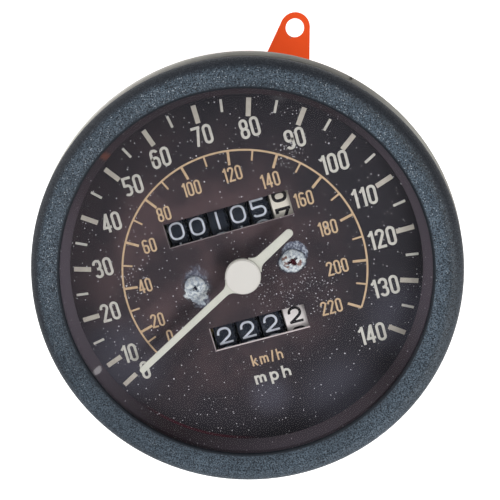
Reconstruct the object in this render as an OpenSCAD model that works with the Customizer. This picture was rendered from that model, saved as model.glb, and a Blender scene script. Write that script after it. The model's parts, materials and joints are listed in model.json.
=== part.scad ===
// Round motorcycle speedometer with an odometer and a trip meter, in millimetres.
// +Z points out of the dial and +Y to its 12 o'clock. The origin is on the dial's
// axis, on the flat rear face that lies against the machine.

/* [Front] */
// Outer radius of the bezel
bezel_r = 50; // [47:0.5:54]
// Wall of the bezel ring
bezel_wall = 2.2; // [1.8:0.1:2.6]
// Width of the bezel's front face, from its side to its opening
lip_w = 7; // [6.6:0.1:7.4]
// Rounding of the bezel's outer shoulder
shoulder_r = 3.2; // [2:0.1:4]
// Height of the bezel's crown above the dial face
crown_h = 9.2; // [8.8:0.1:11]
// Height of the bezel's lip edge above the dial face
lip_h = 7.7; // [7.5:0.1:8.2]
// Thickness of the glass
glass_t = 1.8; // [1.2:0.1:2.2]
// Thickness of the rubber ring under the glass
gasket_t = 1.2; // [0.8:0.1:1.4]
// Height of the foot flange that the case's mouth is rolled over
foot_h = 4.6; // [3.5:0.1:5]
// How far the foot flange stands out of the bezel's side
foot_w = 0.4; // [0.3:0.05:0.6]

/* [Dial] */
// Height of the dial face above the rear face
dial_z = 53; // [53:0.5:58]
// Thickness of the dial plate
dial_t = 0.8; // [0.6:0.1:1.2]
// How far the spacer ring shows inside the bezel's opening
spacer_show = 1.1; // [0.8:0.1:1.8]
// Sheet thickness of the spacer ring
spacer_t = 0.8; // [0.5:0.1:1]
// Distance of each dial screw from the centre
dial_screw_x = 12; // [11:0.1:13]
// Radius of a dial screw's head
dial_screw_head_r = 2.5; // [2:0.1:2.8]
// Height of the odometer window
window_h = 5.8; // [5:0.1:6.4]

/* [Pointer] */
// Length of the pointer from its pivot to its tip
pointer_l = 34.4; // [32:0.1:38]
// Length of the pointer's tail
pointer_tail = 15.6; // [12:0.1:18]
// Width of the pointer's blade
pointer_w = 1.6; // [1.3:0.1:2.2]
// Radius of the pointer's hub disc
hub_r = 4.2; // [3.6:0.1:5]
// Clock angle of the zero mark, measured anticlockwise from 3 o'clock
zero_a = 208.1; // [200:0.1:215]

/* [Odometer] */
// Distance of the odometer's drum axis above the centre
odo_y = 13.4; // [13.2:0.1:14.2]
// Distance from one odometer drum to the next
odo_pitch = 5.07; // [4.8:0.01:5.3]
// Distance of the trip meter's drum axis below the centre
trip_y = 14; // [13.8:0.1:14.6]
// Distance from one trip drum to the next
trip_pitch = 5.85; // [5.4:0.01:6]
// Radius of a number drum
drum_r = 8.2; // [7.8:0.05:8.4]
// Radius of the drum shafts
drum_shaft_r = 1; // [0.8:0.05:1.3]
// Radius of the carry pinions' rods
pinion_rod_r = 0.8; // [0.6:0.05:1]

/* [Speed unit] */
// Radius of the magnet
magnet_r = 11.4; // [10:0.1:12]
// Thickness of the magnet
magnet_h = 5; // [4:0.1:5.4]
// Radial air gap on each side of the speed cup's wall
air_gap = 0.7; // [0.5:0.05:0.9]
// Wall of the aluminium speed cup
speed_cup_t = 0.6; // [0.4:0.05:0.8]
// Wall of the steel return cup
return_cup_t = 1.2; // [0.8:0.1:1.6]
// Radius of the pointer's spindle
spindle_r = 0.6; // [0.5:0.05:0.8]
// Turns of the hairspring
spring_turns = 5; // [3:1:6]

/* [Drive] */
// Radius of the cable nipple, an M12 fine thread's major radius
nipple_r = 6; // [5.8:0.1:7]
// Length of the cable nipple behind the rear face
nipple_l = 12; // [10:0.5:13]
// Radius of the recess that takes the cable's ferrule
ferrule_r = 4.5; // [4.2:0.1:4.7]
// Depth of the ferrule recess
ferrule_l = 8; // [6:0.5:9]
// Radius of the drive shaft in its bush
drive_r = 2.6; // [2.4:0.05:2.8]
// Side of the square socket for the cable's end
square_w = 2.7; // [2.5:0.1:2.8]
// Height of the cross shaft's axis
cross_z = 11.6; // [11.3:0.1:12]
// Radius of the lay shafts and of the cross shaft
lay_r = 0.8; // [0.7:0.05:1]

/* [Case] */
// Sheet thickness of the case cup
cup_t = 0.9; // [0.7:0.1:1.2]
// Radius of the rounding between the cup's wall and its rear
cup_edge_r = 4; // [3:0.5:6]
// Radius of each lamp holder's hole
lamp_r = 5.5; // [5:0.1:6]
// Distance of the lamp holes from the centre line
lamp_x = 32; // [31:0.5:33]
// Height of the lamp holes above the centre
lamp_y = 18.5; // [17:0.5:20]
// Thickness of the movement frame's base plate
base_t = 3; // [2.5:0.1:3.2]
// Thickness of the movement frame's side walls
wall_t = 2.4; // [2:0.1:2.6]

/* [Mounting] */
// Number of mounting studs
stud_count = 3; // [3:1:3]
// Pitch circle radius of the mounting studs
stud_pcr = 22; // [21.5:0.1:22.5]
// Radius of a mounting stud
stud_r = 2.5; // [2:0.1:2.5]
// Length of the mounting studs behind the rear face
stud_l = 15; // [14:0.5:18]
// Thickness of the mounting bracket
bracket_t = 1.6; // [1.2:0.1:2]
// Outer radius of the bracket's ring
bracket_ro = 27.5; // [27:0.1:28]
// Bracket hole, place to the right of the centre
lug_x = 28.9; // [27:0.1:30]
// Bracket hole, place above the centre
lug_y = 53.7; // [53:0.1:56]
// Radius of the bracket's rounded end
lug_r = 4.2; // [4:0.1:5]
// Radius of the hole in the bracket's end
lug_hole_r = 2.6; // [2:0.1:2.8]

/* [Reset knob] */
// Radius of the trip reset shaft
reset_r = 1.5; // [1.2:0.1:1.8]
// Radius of the trip reset knob
knob_r = 5.5; // [4.5:0.1:6]
// Length of the trip reset knob
knob_l = 9; // [7:0.5:10]

/* [Hidden] */
$fn = 96;
cut = 0.1;        // how far a cutter runs past what it cuts
run = 0.05;       // radial clearance of a running fit
seat = 0.3;       // space between pieces that rest against each other
fit = 0.12;       // radial clearance of a pushed fit

// The front, from the glass down to the case's mouth
ledge_z = dial_z - 7;
foot_r = bezel_r + foot_w;
bezel_ri = bezel_r - bezel_wall;
lip_ri = bezel_r - lip_w;
lip_round = 0.5;
glass_seat = 0.8;
glass_top = dial_z + lip_h - glass_seat;
glass_z = glass_top - glass_t;
glass_r = bezel_ri - seat;
gasket_z = glass_z - gasket_t;
gasket_w = 1.2;
gasket_ri = lip_ri + gasket_w;
dial_open_r = lip_ri - spacer_show;
spacer_ro = bezel_ri - fit;
spacer_ri = spacer_ro - spacer_t;
spacer_over = 0.5;
spacer_lip_r = lip_ri + spacer_over;
dial_r = spacer_ri - spacer_over;
dial_under = dial_z - dial_t;
dial_screw_r = 1.2;
dial_screw_l = 3;
dial_screw_head_h = 1.4;
dial_screw_dome_r = 4.6;
cross_w = 0.6;
crown_z = dial_z + crown_h;
groove_w = 0.3;
groove_x = bezel_r - shoulder_r - 0.5;

// The case
mouth_ri = foot_r + fit;
mouth_ro = mouth_ri + cup_t;
ledge_w = 4.5;
cup_ri = mouth_ri - ledge_w;
cup_ro = cup_ri + cup_t;
lip_gap = 0.15;
crimp_h = 1.3;
crimp_edge = 0.4;
step_r = 1;
floor_z = cup_t;
stake_a = 45.8;
stake_r = 0.4;
collar_l = 3;

// The movement frame
base_z = 4.2;
base_top = base_z + base_t;
base_y = 27.5;
wall_y = 24.5;
corner_r = 4;
bridge_w = 4;
bridge_h = 4;
bridge_z = dial_under - bridge_h;
pillar_y = 11.5;
pillar_r = 3.4;
wall_hole_r = 6;
ear_w = 4;
ear_t = 2.5;
reset_ear_w = 6;
reset_ear_t = 3;
block_w = 5;
block_t = 2;

// Number drums, counted from the tenths drum on the right
odo_n = 6;
trip_n = 4;
drum_z = dial_under - 0.6 - drum_r;
drum_gap = 1.17;
carry_teeth = 20;
carry_m = (drum_r - 0.1) * 2 / (carry_teeth + 1.6);
pinion_teeth = 8;
carry_c = carry_m * (carry_teeth + pinion_teeth) / 2 + 0.05;
pinion_z = drum_z - carry_c;
pinion_w = drum_gap - 0.3;
gear_flange = 0.5;
disc_flange = 0.32;
drum_hub_r = 2.4;
drum_rim = 2.6;
drum_web = 1.2;
end_play = 0.2;
sleeve_wall = 1;

// Worm drive: 25, 10 and 9 teeth make 2250 turns of the cable to one of a drum
teeth_a = 25;
teeth_b = 10;
teeth_c = 9;
mod_a = 0.6;
mod_c = 1;
worm_b_r = 2;
worm_c_r = 2;
thread_a = 0.5;
thread_c = 0.75;
slack = 0.12;
pitch_a = PI * mod_a;
pitch_c = PI * mod_c;
wheel_a_r = teeth_a * mod_a / 2;
wheel_b_r = teeth_b * mod_a / 2;
wheel_c_r = teeth_c * mod_c / 2;
// the lay shafts stand beside the odometer's window, and the rest of the train reaches to them
lay_x = odo_n * odo_pitch / 2 + seat + worm_c_r + thread_c;
cross_x = lay_x - worm_b_r - wheel_b_r - slack;
worm_a_r = cross_x - wheel_a_r - slack;
wall_x = lay_x + wheel_b_r + 0.8 * mod_a + slack;
base_x1 = wall_x + wall_t;
lay_dy = wheel_c_r + worm_c_r + slack;
wheel_a_w = 2.5;
wheel_b_w = 2;
wheel_c_w = 1.5;
worm_b_l = 5;
worm_c_l = 6;
cross_core_r = 1.8;
cross_core_l = 9;
lay_core_r = 1.6;
lay_end = 2.2;

// Speed unit
shaft_neck_r = drive_r - 0.6;
return_z = cross_z + wheel_a_r + mod_a + 0.9;
magnet_z = return_z + return_cup_t + 0.2;
magnet_top = magnet_z + magnet_h;
speed_cup_ri = magnet_r + air_gap;
speed_cup_ro = speed_cup_ri + speed_cup_t;
return_ri = speed_cup_ro + air_gap;
return_ro = return_ri + return_cup_t;
speed_cup_top = magnet_top + 0.7 + speed_cup_t;
spindle_z = magnet_top - 1.2;
spring_z = speed_cup_top + 2;
spring_r = 6;
spring_ri = 1.9;
spring_h = 0.5;
spring_t = 0.25;
collet_r = spring_ri - seat;
collet_h = 1.5;
bush_ro = 2.4;
cup_hang = 0.8;
post_x = spring_r + seat;
post_w = 1.6;
hub_h = 4.7;
blade_h = 3;
hub_top = dial_z + hub_h;
blade_z = dial_z + blade_h;
blade_t = 0.8;
tip_r = 0.74;
tail_r = 0.95;
tail_more = 0.15;
flare_r = 2.4;
hub_edge = 0.3;
sleeve_r = 1.6;

// Drive
bush_t = 1.3;
bush_r = drive_r + run + bush_t;
bush_flange = 0.6;
bush_rim = 0.9;
square_l = 8;
drive_end = 3;
worm_a_z = base_top + bush_flange + seat;
collar_r = 9;
nipple_step = 0.2;

// Reset gearing: a spur on the trip shaft meets the pins of a crown wheel
spur_teeth = 8;
spur_m = 0.6;
spur_w = 1.5;
spur_x = -(wall_x + wall_t + 0.6 + spur_w / 2);
crown_pins = 12;
crown_r = crown_pins * spur_m / 2;
crown_pin_r = 0.3;
crown_t = 1.2;
reset_x = spur_x - crown_r;
reset_foot = 4.5;
reset_foot_x = reset_x - reset_foot;
spur_tip = spur_m * spur_teeth / 2 + spur_m;
crown_top = drum_z - spur_tip - 0.4;
pin_top = drum_z - spur_tip + 0.8;
reset_ear_z = crown_top - crown_t - reset_ear_t - 4.4;
crown_rim = 0.7;
knob_top = -3;
knob_floor = 1.5;
knob_neck = 1.5;
knob_step = 1;
flute_n = 18;
flute_r = 0.5;

// Mounting
stud_head_r = 4.5;
stud_head_t = 1;
stud_chamfer = 0.5;
stud_a0 = 30;
stud_clear = 0.2;
washer_r = 5;
washer_t = 1;
nut_af = 8;
nut_h = 4;
bracket_ri = 15;
lug_left_a = 48.8;
lug_right_a = 74.3;
lug_left_l = 40;
lug_right_l = 41;
screw_r = 2;
screw_head_r = 3.5;
screw_head_t = 2.4;
screw_cross_w = 0.8;
screw_l = base_top - 1;

// Points of an arc about [x, y] from angle a to angle b
function arc(x, y, r, a, b, n = 8) = [
  for (i = [0 : n]) [x + r * cos(a + (b - a) * i / n), y + r * sin(a + (b - a) * i / n)]
];

// Outline of n trapezoid teeth between two radii, with a tooth at angle a
function teeth(n, root, tip, root_w, tip_w, a = 0) = [
  for (i = [0 : n - 1], p = [[root, -root_w], [tip, -tip_w], [tip, tip_w], [root, root_w]])
    let (t = a + 360 * i / n + asin(p[1] / p[0] / 2)) [p[0] * cos(t), p[0] * sin(t)]
];

// Spur wheel of module m whose teeth leave room for play
module spur(n, m, w, a = 0) {
  linear_extrude(w, center = true)
    polygon(teeth(n, n * m / 2 - 1.15 * m, n * m / 2 + 0.8 * m, 1.7 * m, 0.6 * m, a));
}

// One-start worm along z: an off-centre round turned up the shaft. The gap in
// its thread faces angle a at height 0. Hand is 1 for a right-hand thread.
module worm(r, depth, pitch, l, a, hand = 1) {
  turns = l / pitch;
  rotate(a + 180 - hand * 180 * turns)
    translate([0, 0, -l / 2])
      linear_extrude(l, twist = -hand * 360 * turns, slices = ceil(turns * 12), $fn = 18)
        translate([depth, 0])
          circle(r);
}

module along_x() { rotate([0, 90, 0]) children(); }
module along_y() { rotate([-90, 0, 0]) children(); }

// Cylinder about z from height a to height b
module rod(r, a, b) { translate([0, 0, a]) cylinder(r = r, h = b - a); }

// Ring about z from height a to height b
module tube(ro, ri, a, b) {
  difference() {
    rod(ro, a, b);
    rod(ri, a - cut, b + cut);
  }
}

module at_studs() {
  for (i = [0 : stud_count - 1])
    rotate(stud_a0 + 360 * i / stud_count)
      translate([stud_pcr, 0, 0])
        rotate(-stud_a0 - 360 * i / stud_count)
          children();
}

module bezel_ring() {
  color([0.24, 0.31, 0.35])
    rotate_extrude()
      difference() {
        polygon(concat(
          [[bezel_ri, ledge_z], [foot_r, ledge_z], [foot_r, ledge_z + foot_h]],
          [[bezel_r, ledge_z + foot_h]],
          arc(bezel_r - shoulder_r, crown_z - shoulder_r, shoulder_r, 0, 90),
          arc(lip_ri + lip_round, dial_z + lip_h - lip_round, lip_round, 90, 180, 4),
          [[lip_ri, glass_top], [bezel_ri, glass_top]]
        ));
        translate([groove_x, crown_z])
          circle(groove_w, $fn = 24);
      }
}

module glass() {
  color([0.8, 0.85, 0.88, 0.3])
    rod(glass_r, glass_z, glass_top);
}

module glass_gasket() {
  color([0.08, 0.08, 0.08])
    tube(glass_r, gasket_ri, gasket_z, glass_z);
}

module spacer_ring() {
  color([0.12, 0.1, 0.12])
    rotate_extrude()
      polygon([
        [spacer_ro, ledge_z], [spacer_ro, gasket_z], [spacer_lip_r, gasket_z],
        [dial_open_r, dial_z + seat], [dial_open_r + spacer_t, dial_z + seat],
        [spacer_lip_r + spacer_t, gasket_z - spacer_t], [spacer_ri, gasket_z - spacer_t],
        [spacer_ri, ledge_z]
      ]);
}

module dial_plate() {
  color([0.13, 0.1, 0.11])
    difference() {
      rod(dial_r, dial_under, dial_z);
      translate([0, odo_y, dial_z])
        cube([odo_n * odo_pitch, window_h, 3 * dial_t], center = true);
      translate([0, -trip_y, dial_z])
        cube([trip_n * trip_pitch, window_h, 3 * dial_t], center = true);
      rod(spindle_r + 0.5, dial_under - cut, dial_z + cut);
      for (s = [-1, 1])
        translate([s * dial_screw_x, 0, 0])
          rod(dial_screw_r + 0.1, dial_under - cut, dial_z + cut);
    }
}

module dial_screws() {
  color([0.6, 0.6, 0.58])
    for (s = [-1, 1])
      translate([s * dial_screw_x, 0, dial_z])
        difference() {
          union() {
            rotate_extrude()
              intersection() {
                translate([0, dial_screw_head_h - dial_screw_dome_r])
                  circle(dial_screw_dome_r);
                square([dial_screw_head_r, dial_screw_head_h]);
              }
            rod(dial_screw_r, -dial_t - dial_screw_l, cut);
          }
          for (a = [20, 110])
            rotate(a)
              translate([0, 0, dial_screw_head_h])
                cube([1.1 * dial_screw_head_r, cross_w, 2 * cross_w], center = true);
        }
}

// Flat needle with a rounded tip and tail, flared where it meets the hub disc
module pointer() {
  root = pointer_w / 2;
  tail_root = tail_r + tail_more;
  neck = hub_r + flare_r - 0.6;
  color([0.86, 0.88, 0.76])
    rotate(zero_a)
      difference() {
        union() {
          translate([0, 0, blade_z])
            linear_extrude(blade_t) {
              polygon([
                [-neck, tail_root], [-pointer_tail + tail_r, tail_r], [-pointer_tail + tail_r, -tail_r],
                [-neck, -tail_root], [0, -root], [neck, -root], [pointer_l - tip_r, -tip_r],
                [pointer_l - tip_r, tip_r], [neck, root], [0, root]
              ]);
              for (s = [-1, 1]) {
                polygon(concat([[hub_r / 2, 0], [neck, 0]],
                  arc(neck, s * (root + flare_r), flare_r, -90 * s, -150 * s)));
                polygon(concat([[-hub_r / 2, 0], [-neck, 0]],
                  arc(-neck, s * (tail_root + flare_r), flare_r, -90 * s, -30 * s)));
              }
              translate([-pointer_tail + tail_r, 0])
                circle(tail_r);
              translate([pointer_l - tip_r, 0])
                circle(tip_r);
            }
          rod(hub_r - hub_edge, hub_top - hub_edge, hub_top);
          rod(hub_r, blade_z, hub_top - hub_edge);
          rod(sleeve_r, dial_z + 2 * seat, blade_z + cut);
        }
        rod(spindle_r, dial_z, blade_z + blade_t);
      }
}

module pointer_spindle() {
  color([0.7, 0.7, 0.72]) {
    rod(spindle_r, spindle_z, blade_z + blade_t);
    rod(collet_r, spring_z - spring_h, spring_z - spring_h + collet_h);
    rod(collet_r, speed_cup_top, speed_cup_top + speed_cup_t);
  }
}

module speed_cup() {
  color([0.78, 0.78, 0.8]) {
    tube(speed_cup_ro, speed_cup_ri, magnet_z + cup_hang, speed_cup_top);
    tube(speed_cup_ri + cut, spindle_r, speed_cup_top - speed_cup_t, speed_cup_top);
  }
}

// Flat spiral from the spindle's collet out to the frame's post
module hairspring() {
  steps = spring_turns * 24;
  function spiral(s) = [
    for (i = [0 : steps])
      let (a = 360 * i / 24, r = spring_ri + (spring_r - spring_ri) * i / steps + s)
        [r * cos(a), r * sin(a)]
  ];
  inner = spiral(-spring_t / 2);
  outer = spiral(spring_t / 2);
  color([0.72, 0.6, 0.35])
    translate([0, 0, spring_z])
      linear_extrude(spring_h)
        polygon(concat(inner, [for (i = [steps : -1 : 0]) outer[i]]));
}

module spindle_bush() {
  color([0.75, 0.6, 0.3])
    tube(bush_ro, spindle_r + run, bridge_z - seat, dial_under - seat);
}

// Plate with rounded corners, made of squares and rounds
module rounded_plate(x0, x1, y0, y1, r, z0, z1) {
  translate([0, 0, z0])
    linear_extrude(z1 - z0)
      union() {
        translate([x0 + r, y0])
          square([x1 - x0 - 2 * r, y1 - y0]);
        translate([x0, y0 + r])
          square([x1 - x0, y1 - y0 - 2 * r]);
        for (x = [x0 + r, x1 - r], y = [y0 + r, y1 - r])
          translate([x, y])
            circle(r, $fn = 48);
      }
}

// Side wall that carries the drum shafts, with a window to save metal
module side_wall(x0) {
  difference() {
    translate([x0, -wall_y, base_top - cut])
      cube([wall_t, 2 * wall_y, dial_under - base_top + cut]);
    for (s = [-1, 1])
      translate([x0 - cut, s * (wall_y / 2 + bridge_w), (base_top + pinion_z) / 2])
        along_x()
          rod(wall_hole_r, 0, wall_t + 2 * cut);
  }
}

module movement_frame() {
  ear_z = drum_z + worm_c_l / 2 + seat;
  color([0.7, 0.7, 0.68])
    difference() {
      union() {
        rounded_plate(-base_x1, base_x1, -base_y, base_y, corner_r, base_z, base_top);
        // foot under the reset shaft, which leaves the lamp holder's way open
        rounded_plate(reset_foot_x, 0, -trip_y - reset_foot, -trip_y + reset_foot, corner_r, base_z, base_top);
        side_wall(wall_x);
        side_wall(-wall_x - wall_t);
        translate([-wall_x - cut, -bridge_w, bridge_z])
          cube([2 * wall_x + 2 * cut, 2 * bridge_w, bridge_h]);
        // post for the outer end of the hairspring
        translate([post_x, -post_w, spring_z - seat])
          cube([post_w, 2 * post_w, bridge_z - spring_z + seat + cut]);
        // ears over the two lay shafts
        for (y = [odo_y + lay_dy, -trip_y - lay_dy])
          translate([lay_x - ear_w / 2, y - ear_w / 2, ear_z])
            cube([wall_x - lay_x + ear_w / 2 + cut, ear_w, ear_t]);
        // ear for the reset shaft
        translate([reset_x - reset_ear_w / 2, -trip_y - reset_ear_w / 2, reset_ear_z])
          cube([-wall_x - reset_x + reset_ear_w / 2 - wall_t + cut, reset_ear_w, reset_ear_t]);
        // bearing blocks for the cross shaft
        for (s = [-1, 1])
          translate([cross_x - block_w / 2, s * (base_y - block_t / 2) - block_t / 2, base_top - cut])
            cube([block_w, block_t, cross_z + block_w / 2 - base_top + cut]);
        for (s = [-1, 1])
          translate([0, s * pillar_y, 0])
            rod(pillar_r, floor_z, base_z + cut);
        rod(collar_r, floor_z, base_z + cut);
        rod(nipple_r, -nipple_l, cut);
        rod(nipple_r + nipple_step, 0, base_z + cut);
      }
      // slot that the first worm wheel turns in
      translate([cross_x, 0, base_z])
        cube([2 * (wheel_a_r + mod_a + seat), wheel_a_w + 3 * seat, 3 * base_t], center = true);
      rod(ferrule_r, -nipple_l - cut, -nipple_l + ferrule_l);
      rod(bush_r, -nipple_l, base_top + cut);
      rod(bush_ro, bridge_z - cut, dial_under + cut);
      for (s = [-1, 1]) {
        translate([s * dial_screw_x, 0, 0])
          rod(dial_screw_r + 0.02, dial_under - dial_screw_l - seat, dial_under + cut);
        translate([0, s * pillar_y, 0])
          rod(screw_r, 0, base_top + cut);
      }
      for (y = [odo_y, -trip_y]) {
        translate([0, y, drum_z])
          along_x()
            rod(drum_shaft_r + run, -wall_x - wall_t - cut, wall_x + wall_t + cut);
        translate([0, y, pinion_z])
          along_x()
            rod(pinion_rod_r + 0.02, -wall_x - wall_t - cut, wall_x + wall_t + cut);
      }
      for (y = [odo_y + lay_dy, -trip_y - lay_dy])
        translate([lay_x, y, 0])
          rod(lay_r + run, base_z - cut, ear_z + ear_t + cut);
      translate([cross_x, 0, cross_z])
        along_y()
          rod(lay_r + run, -base_y - cut, base_y + cut);
      translate([reset_x, -trip_y, 0])
        rod(reset_r + run, base_z - cut, reset_ear_z + reset_ear_t + cut);
    }
}

module drive_bush() {
  color([0.75, 0.6, 0.3]) {
    tube(bush_r - 0.02, drive_r + run, -nipple_l + ferrule_l, base_top);
    tube(bush_r + bush_rim, drive_r + run, base_top, base_top + bush_flange);
  }
}

module drive_shaft() {
  worm_l = return_z - worm_a_z - seat;
  mid = cross_z - worm_a_z - worm_l / 2;
  color([0.62, 0.62, 0.65])
    difference() {
      union() {
        rod(drive_r, -nipple_l + drive_end, return_z);
        rod(shaft_neck_r, return_z - cut, magnet_top);
        translate([0, 0, worm_a_z + worm_l / 2])
          worm(worm_a_r, thread_a, pitch_a, worm_l, -360 * mid / pitch_a, 1);
      }
      translate([0, 0, -nipple_l + drive_end])
        cube([square_w, square_w, 2 * square_l], center = true);
      rod(spindle_r + run, spindle_z - seat, magnet_top + cut);
    }
}

module magnet() {
  color([0.3, 0.3, 0.32])
    tube(magnet_r, shaft_neck_r + 0.01, magnet_z, magnet_top);
}

module return_cup() {
  color([0.6, 0.58, 0.5]) {
    tube(return_ro, return_ri, return_z, magnet_top + 0.5);
    tube(return_ri + cut, shaft_neck_r + 0.01, return_z, return_z + return_cup_t);
  }
}

// Cross shaft with the first wheel and the two second worms
module cross_shaft() {
  color([0.75, 0.62, 0.35])
    translate([cross_x, 0, cross_z])
      along_y() {
        rod(lay_r, -base_y, base_y);
        spur(teeth_a, mod_a, wheel_a_w, 180);
        for (y = [odo_y + lay_dy, -trip_y - lay_dy])
          translate([0, 0, y])
            worm(worm_b_r, thread_a, pitch_a, worm_b_l, 0, 1);
        rod(cross_core_r, -cross_core_l, cross_core_l);
      }
}

// Upright shaft with the second wheel below and the third worm above
module lay_shaft(y, face, hand) {
  color([0.75, 0.62, 0.35])
    translate([lay_x, y, 0]) {
      rod(lay_r, base_z + seat, drum_z + worm_c_l / 2 + seat + lay_end);
      translate([0, 0, cross_z])
        spur(teeth_b, mod_a, wheel_b_w, 180);
      rod(lay_core_r, base_top + seat, cross_z);
      translate([0, 0, drum_z])
        worm(worm_c_r, thread_c, pitch_c, worm_c_l, face, hand);
    }
}

module odo_lay_shaft() { lay_shaft(odo_y + lay_dy, -90, 1); }
module trip_lay_shaft() { lay_shaft(-trip_y - lay_dy, 90, -1); }

// Centre of drum i, counted leftwards from the tenths drum
function drum_x(i, n, pitch) = (n / 2 - i + 0.5) * pitch;

// Number drum: a band, a toothed flange on its right that a carry pinion turns, and
// a disc on its left with the two carry teeth. The tenths drum fills its window's end.
module drum(i, n, pitch, y, tone, face) {
  band = pitch - drum_gap;
  right = i == 1 ? pitch / 2 : band / 2;
  tip = drum_r - 0.1;
  x = drum_x(i, n, pitch);
  color(tone)
    translate([x, y, drum_z])
      along_x()
        difference() {
          union() {
            rod(drum_r, -band / 2, right);
            if (i > 1)
              translate([0, 0, band / 2 + gear_flange / 2 - cut / 2])
                linear_extrude(gear_flange + cut, center = true)
                  polygon(teeth(carry_teeth, tip - 1.9 * carry_m, tip,
                    1.5 * carry_m, 0.6 * carry_m, 180 / carry_teeth));
            if (i < n) {
              rod(tip - 2.2 * carry_m, -band / 2 - disc_flange, -band / 2 + cut);
              translate([0, 0, -band / 2 - disc_flange])
                linear_extrude(disc_flange + cut)
                  for (a = [100, 118])
                    rotate(a)
                      translate([tip - 2.4 * carry_m, -0.3 * carry_m])
                        square([2.4 * carry_m - 0.2, 0.6 * carry_m]);
            }
            // the tenths drum has a long hub with the worm wheel on it
            if (i == 1) {
              rod(drum_hub_r, 0, wall_x - x - end_play);
              translate([0, 0, lay_x - x])
                spur(teeth_c, mod_c, wheel_c_w, face);
            }
          }
          rod(drum_shaft_r + run, -pitch, wall_x - x + cut);
          // recess that lightens the drum
          difference() {
            rod(drum_r - drum_rim, -band / 2 + drum_web, right - drum_web);
            rod(drum_hub_r, -band, band);
          }
        }
}

// Carry pinion between drum i and the next on its left
module carry_pinion(i, n, pitch, y) {
  color([0.8, 0.78, 0.7])
    translate([drum_x(i, n, pitch) - pitch / 2, y, pinion_z])
      along_x()
        difference() {
          spur(pinion_teeth, carry_m, pinion_w, 180);
          rod(pinion_rod_r + run, -pinion_w, pinion_w);
        }
}

module odo_drum(i) { drum(i, odo_n, odo_pitch, odo_y, i == 1 ? [0.85, 0.82, 0.7] : [0.08, 0.09, 0.12], 90); }
module trip_drum(i) { drum(i, trip_n, trip_pitch, -trip_y, i == 1 ? [0.85, 0.82, 0.7] : [0.08, 0.09, 0.12], -90); }
module odo_pinion(i) { carry_pinion(i, odo_n, odo_pitch, odo_y); }
module trip_pinion(i) { carry_pinion(i, trip_n, trip_pitch, -trip_y); }

// Drum shaft with the sleeve that keeps the drums from sliding left
module drum_shaft(y, n, pitch, x0) {
  color([0.66, 0.66, 0.68])
    translate([0, y, drum_z])
      along_x() {
        rod(drum_shaft_r, x0, wall_x + wall_t);
        rod(drum_shaft_r + sleeve_wall, -wall_x + end_play, -n * pitch / 2 + drum_gap / 2 - end_play);
      }
}

module odo_shaft() { drum_shaft(odo_y, odo_n, odo_pitch, -wall_x - wall_t); }

module trip_shaft() {
  drum_shaft(-trip_y, trip_n, trip_pitch, spur_x - spur_w);
  color([0.75, 0.62, 0.35])
    translate([spur_x, -trip_y, drum_z])
      along_x()
        spur(spur_teeth, spur_m, spur_w, 180 / spur_teeth);
}

module pinion_rod(y) {
  color([0.66, 0.66, 0.68])
    translate([0, y, pinion_z])
      along_x()
        rod(pinion_rod_r, -wall_x - wall_t, wall_x + wall_t);
}

module odo_pinion_rod() { pinion_rod(odo_y); }
module trip_pinion_rod() { pinion_rod(-trip_y); }

module reset_shaft() {
  color([0.66, 0.66, 0.68])
    translate([reset_x, -trip_y, 0]) {
      rod(reset_r, knob_top - knob_l + knob_floor, crown_top);
      rod(crown_r + crown_rim, crown_top - crown_t, crown_top);
      for (i = [0 : crown_pins - 1])
        rotate(360 * i / crown_pins)
          translate([crown_r, 0, 0])
            rod(crown_pin_r, crown_top - cut, pin_top);
    }
}

module reset_knob() {
  color([0.07, 0.07, 0.07])
    translate([reset_x, -trip_y, knob_top - knob_l])
      difference() {
        union() {
          rod(knob_r, 0, knob_l - knob_step);
          rod(knob_r - knob_neck, knob_l - knob_step - cut, knob_l);
        }
        for (i = [0 : flute_n - 1])
          rotate(360 / flute_n * i)
            translate([knob_r + 0.4 * flute_r, 0, 0])
              rod(flute_r, -cut, knob_l - 2 * knob_step, $fn = 24);
        rod(reset_r + 0.01, knob_floor, knob_l + cut);
      }
}

// Drawn sheet cup: rear, wall, ledge and a mouth rolled over the bezel's foot
module case_cup() {
  roll_z = ledge_z + foot_h + lip_gap;
  roll_r = crimp_h / 2;
  step_z = ledge_z - cup_t;
  color([0.58, 0.57, 0.53])
    difference() {
      union() {
        rotate_extrude()
          polygon(concat(
            [[0, 0]],
            arc(cup_ro - cup_edge_r, cup_edge_r, cup_edge_r, -90, 0),
            [[cup_ro, step_z]],
            arc(mouth_ro - step_r, step_z + step_r, step_r, -90, 0, 5),
            arc(mouth_ro - roll_r, roll_z + roll_r, roll_r, 0, 90),
            arc(bezel_r + lip_gap + crimp_edge, roll_z + crimp_h - crimp_edge, crimp_edge,
              90, 180, 4),
            [[bezel_r + lip_gap, roll_z], [mouth_ri, roll_z], [mouth_ri, ledge_z]],
            [[cup_ri, ledge_z]],
            arc(cup_ri - cup_edge_r + cup_t, cup_edge_r, cup_edge_r - cup_t, 0, -90),
            [[0, floor_z]]
          ));
        for (s = [-1, 1])
          translate([s * lamp_x, lamp_y, 0])
            rod(lamp_r + 1, floor_z - cut, floor_z + collar_l);
      }
      rod(nipple_r + nipple_step + seat, -cut, floor_z + cut);
      for (s = [-1, 1]) {
        translate([0, s * pillar_y, 0])
          rod(screw_r + 0.2, -cut, floor_z + cut);
        translate([s * lamp_x, lamp_y, 0])
          rod(lamp_r, -cut, floor_z + collar_l + cut);
      }
      at_studs()
        rod(stud_r, -cut, floor_z + cut);
      translate([reset_x, -trip_y, 0])
        rod(reset_r + 0.4, -cut, floor_z + cut);
      // staking mark in the rolled mouth
      rotate(stake_a)
        translate([mouth_ro - cup_t / 2, 0, roll_z + crimp_h / 2])
          rod(stake_r, 0, crimp_h, $fn = 24);
    }
}

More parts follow.
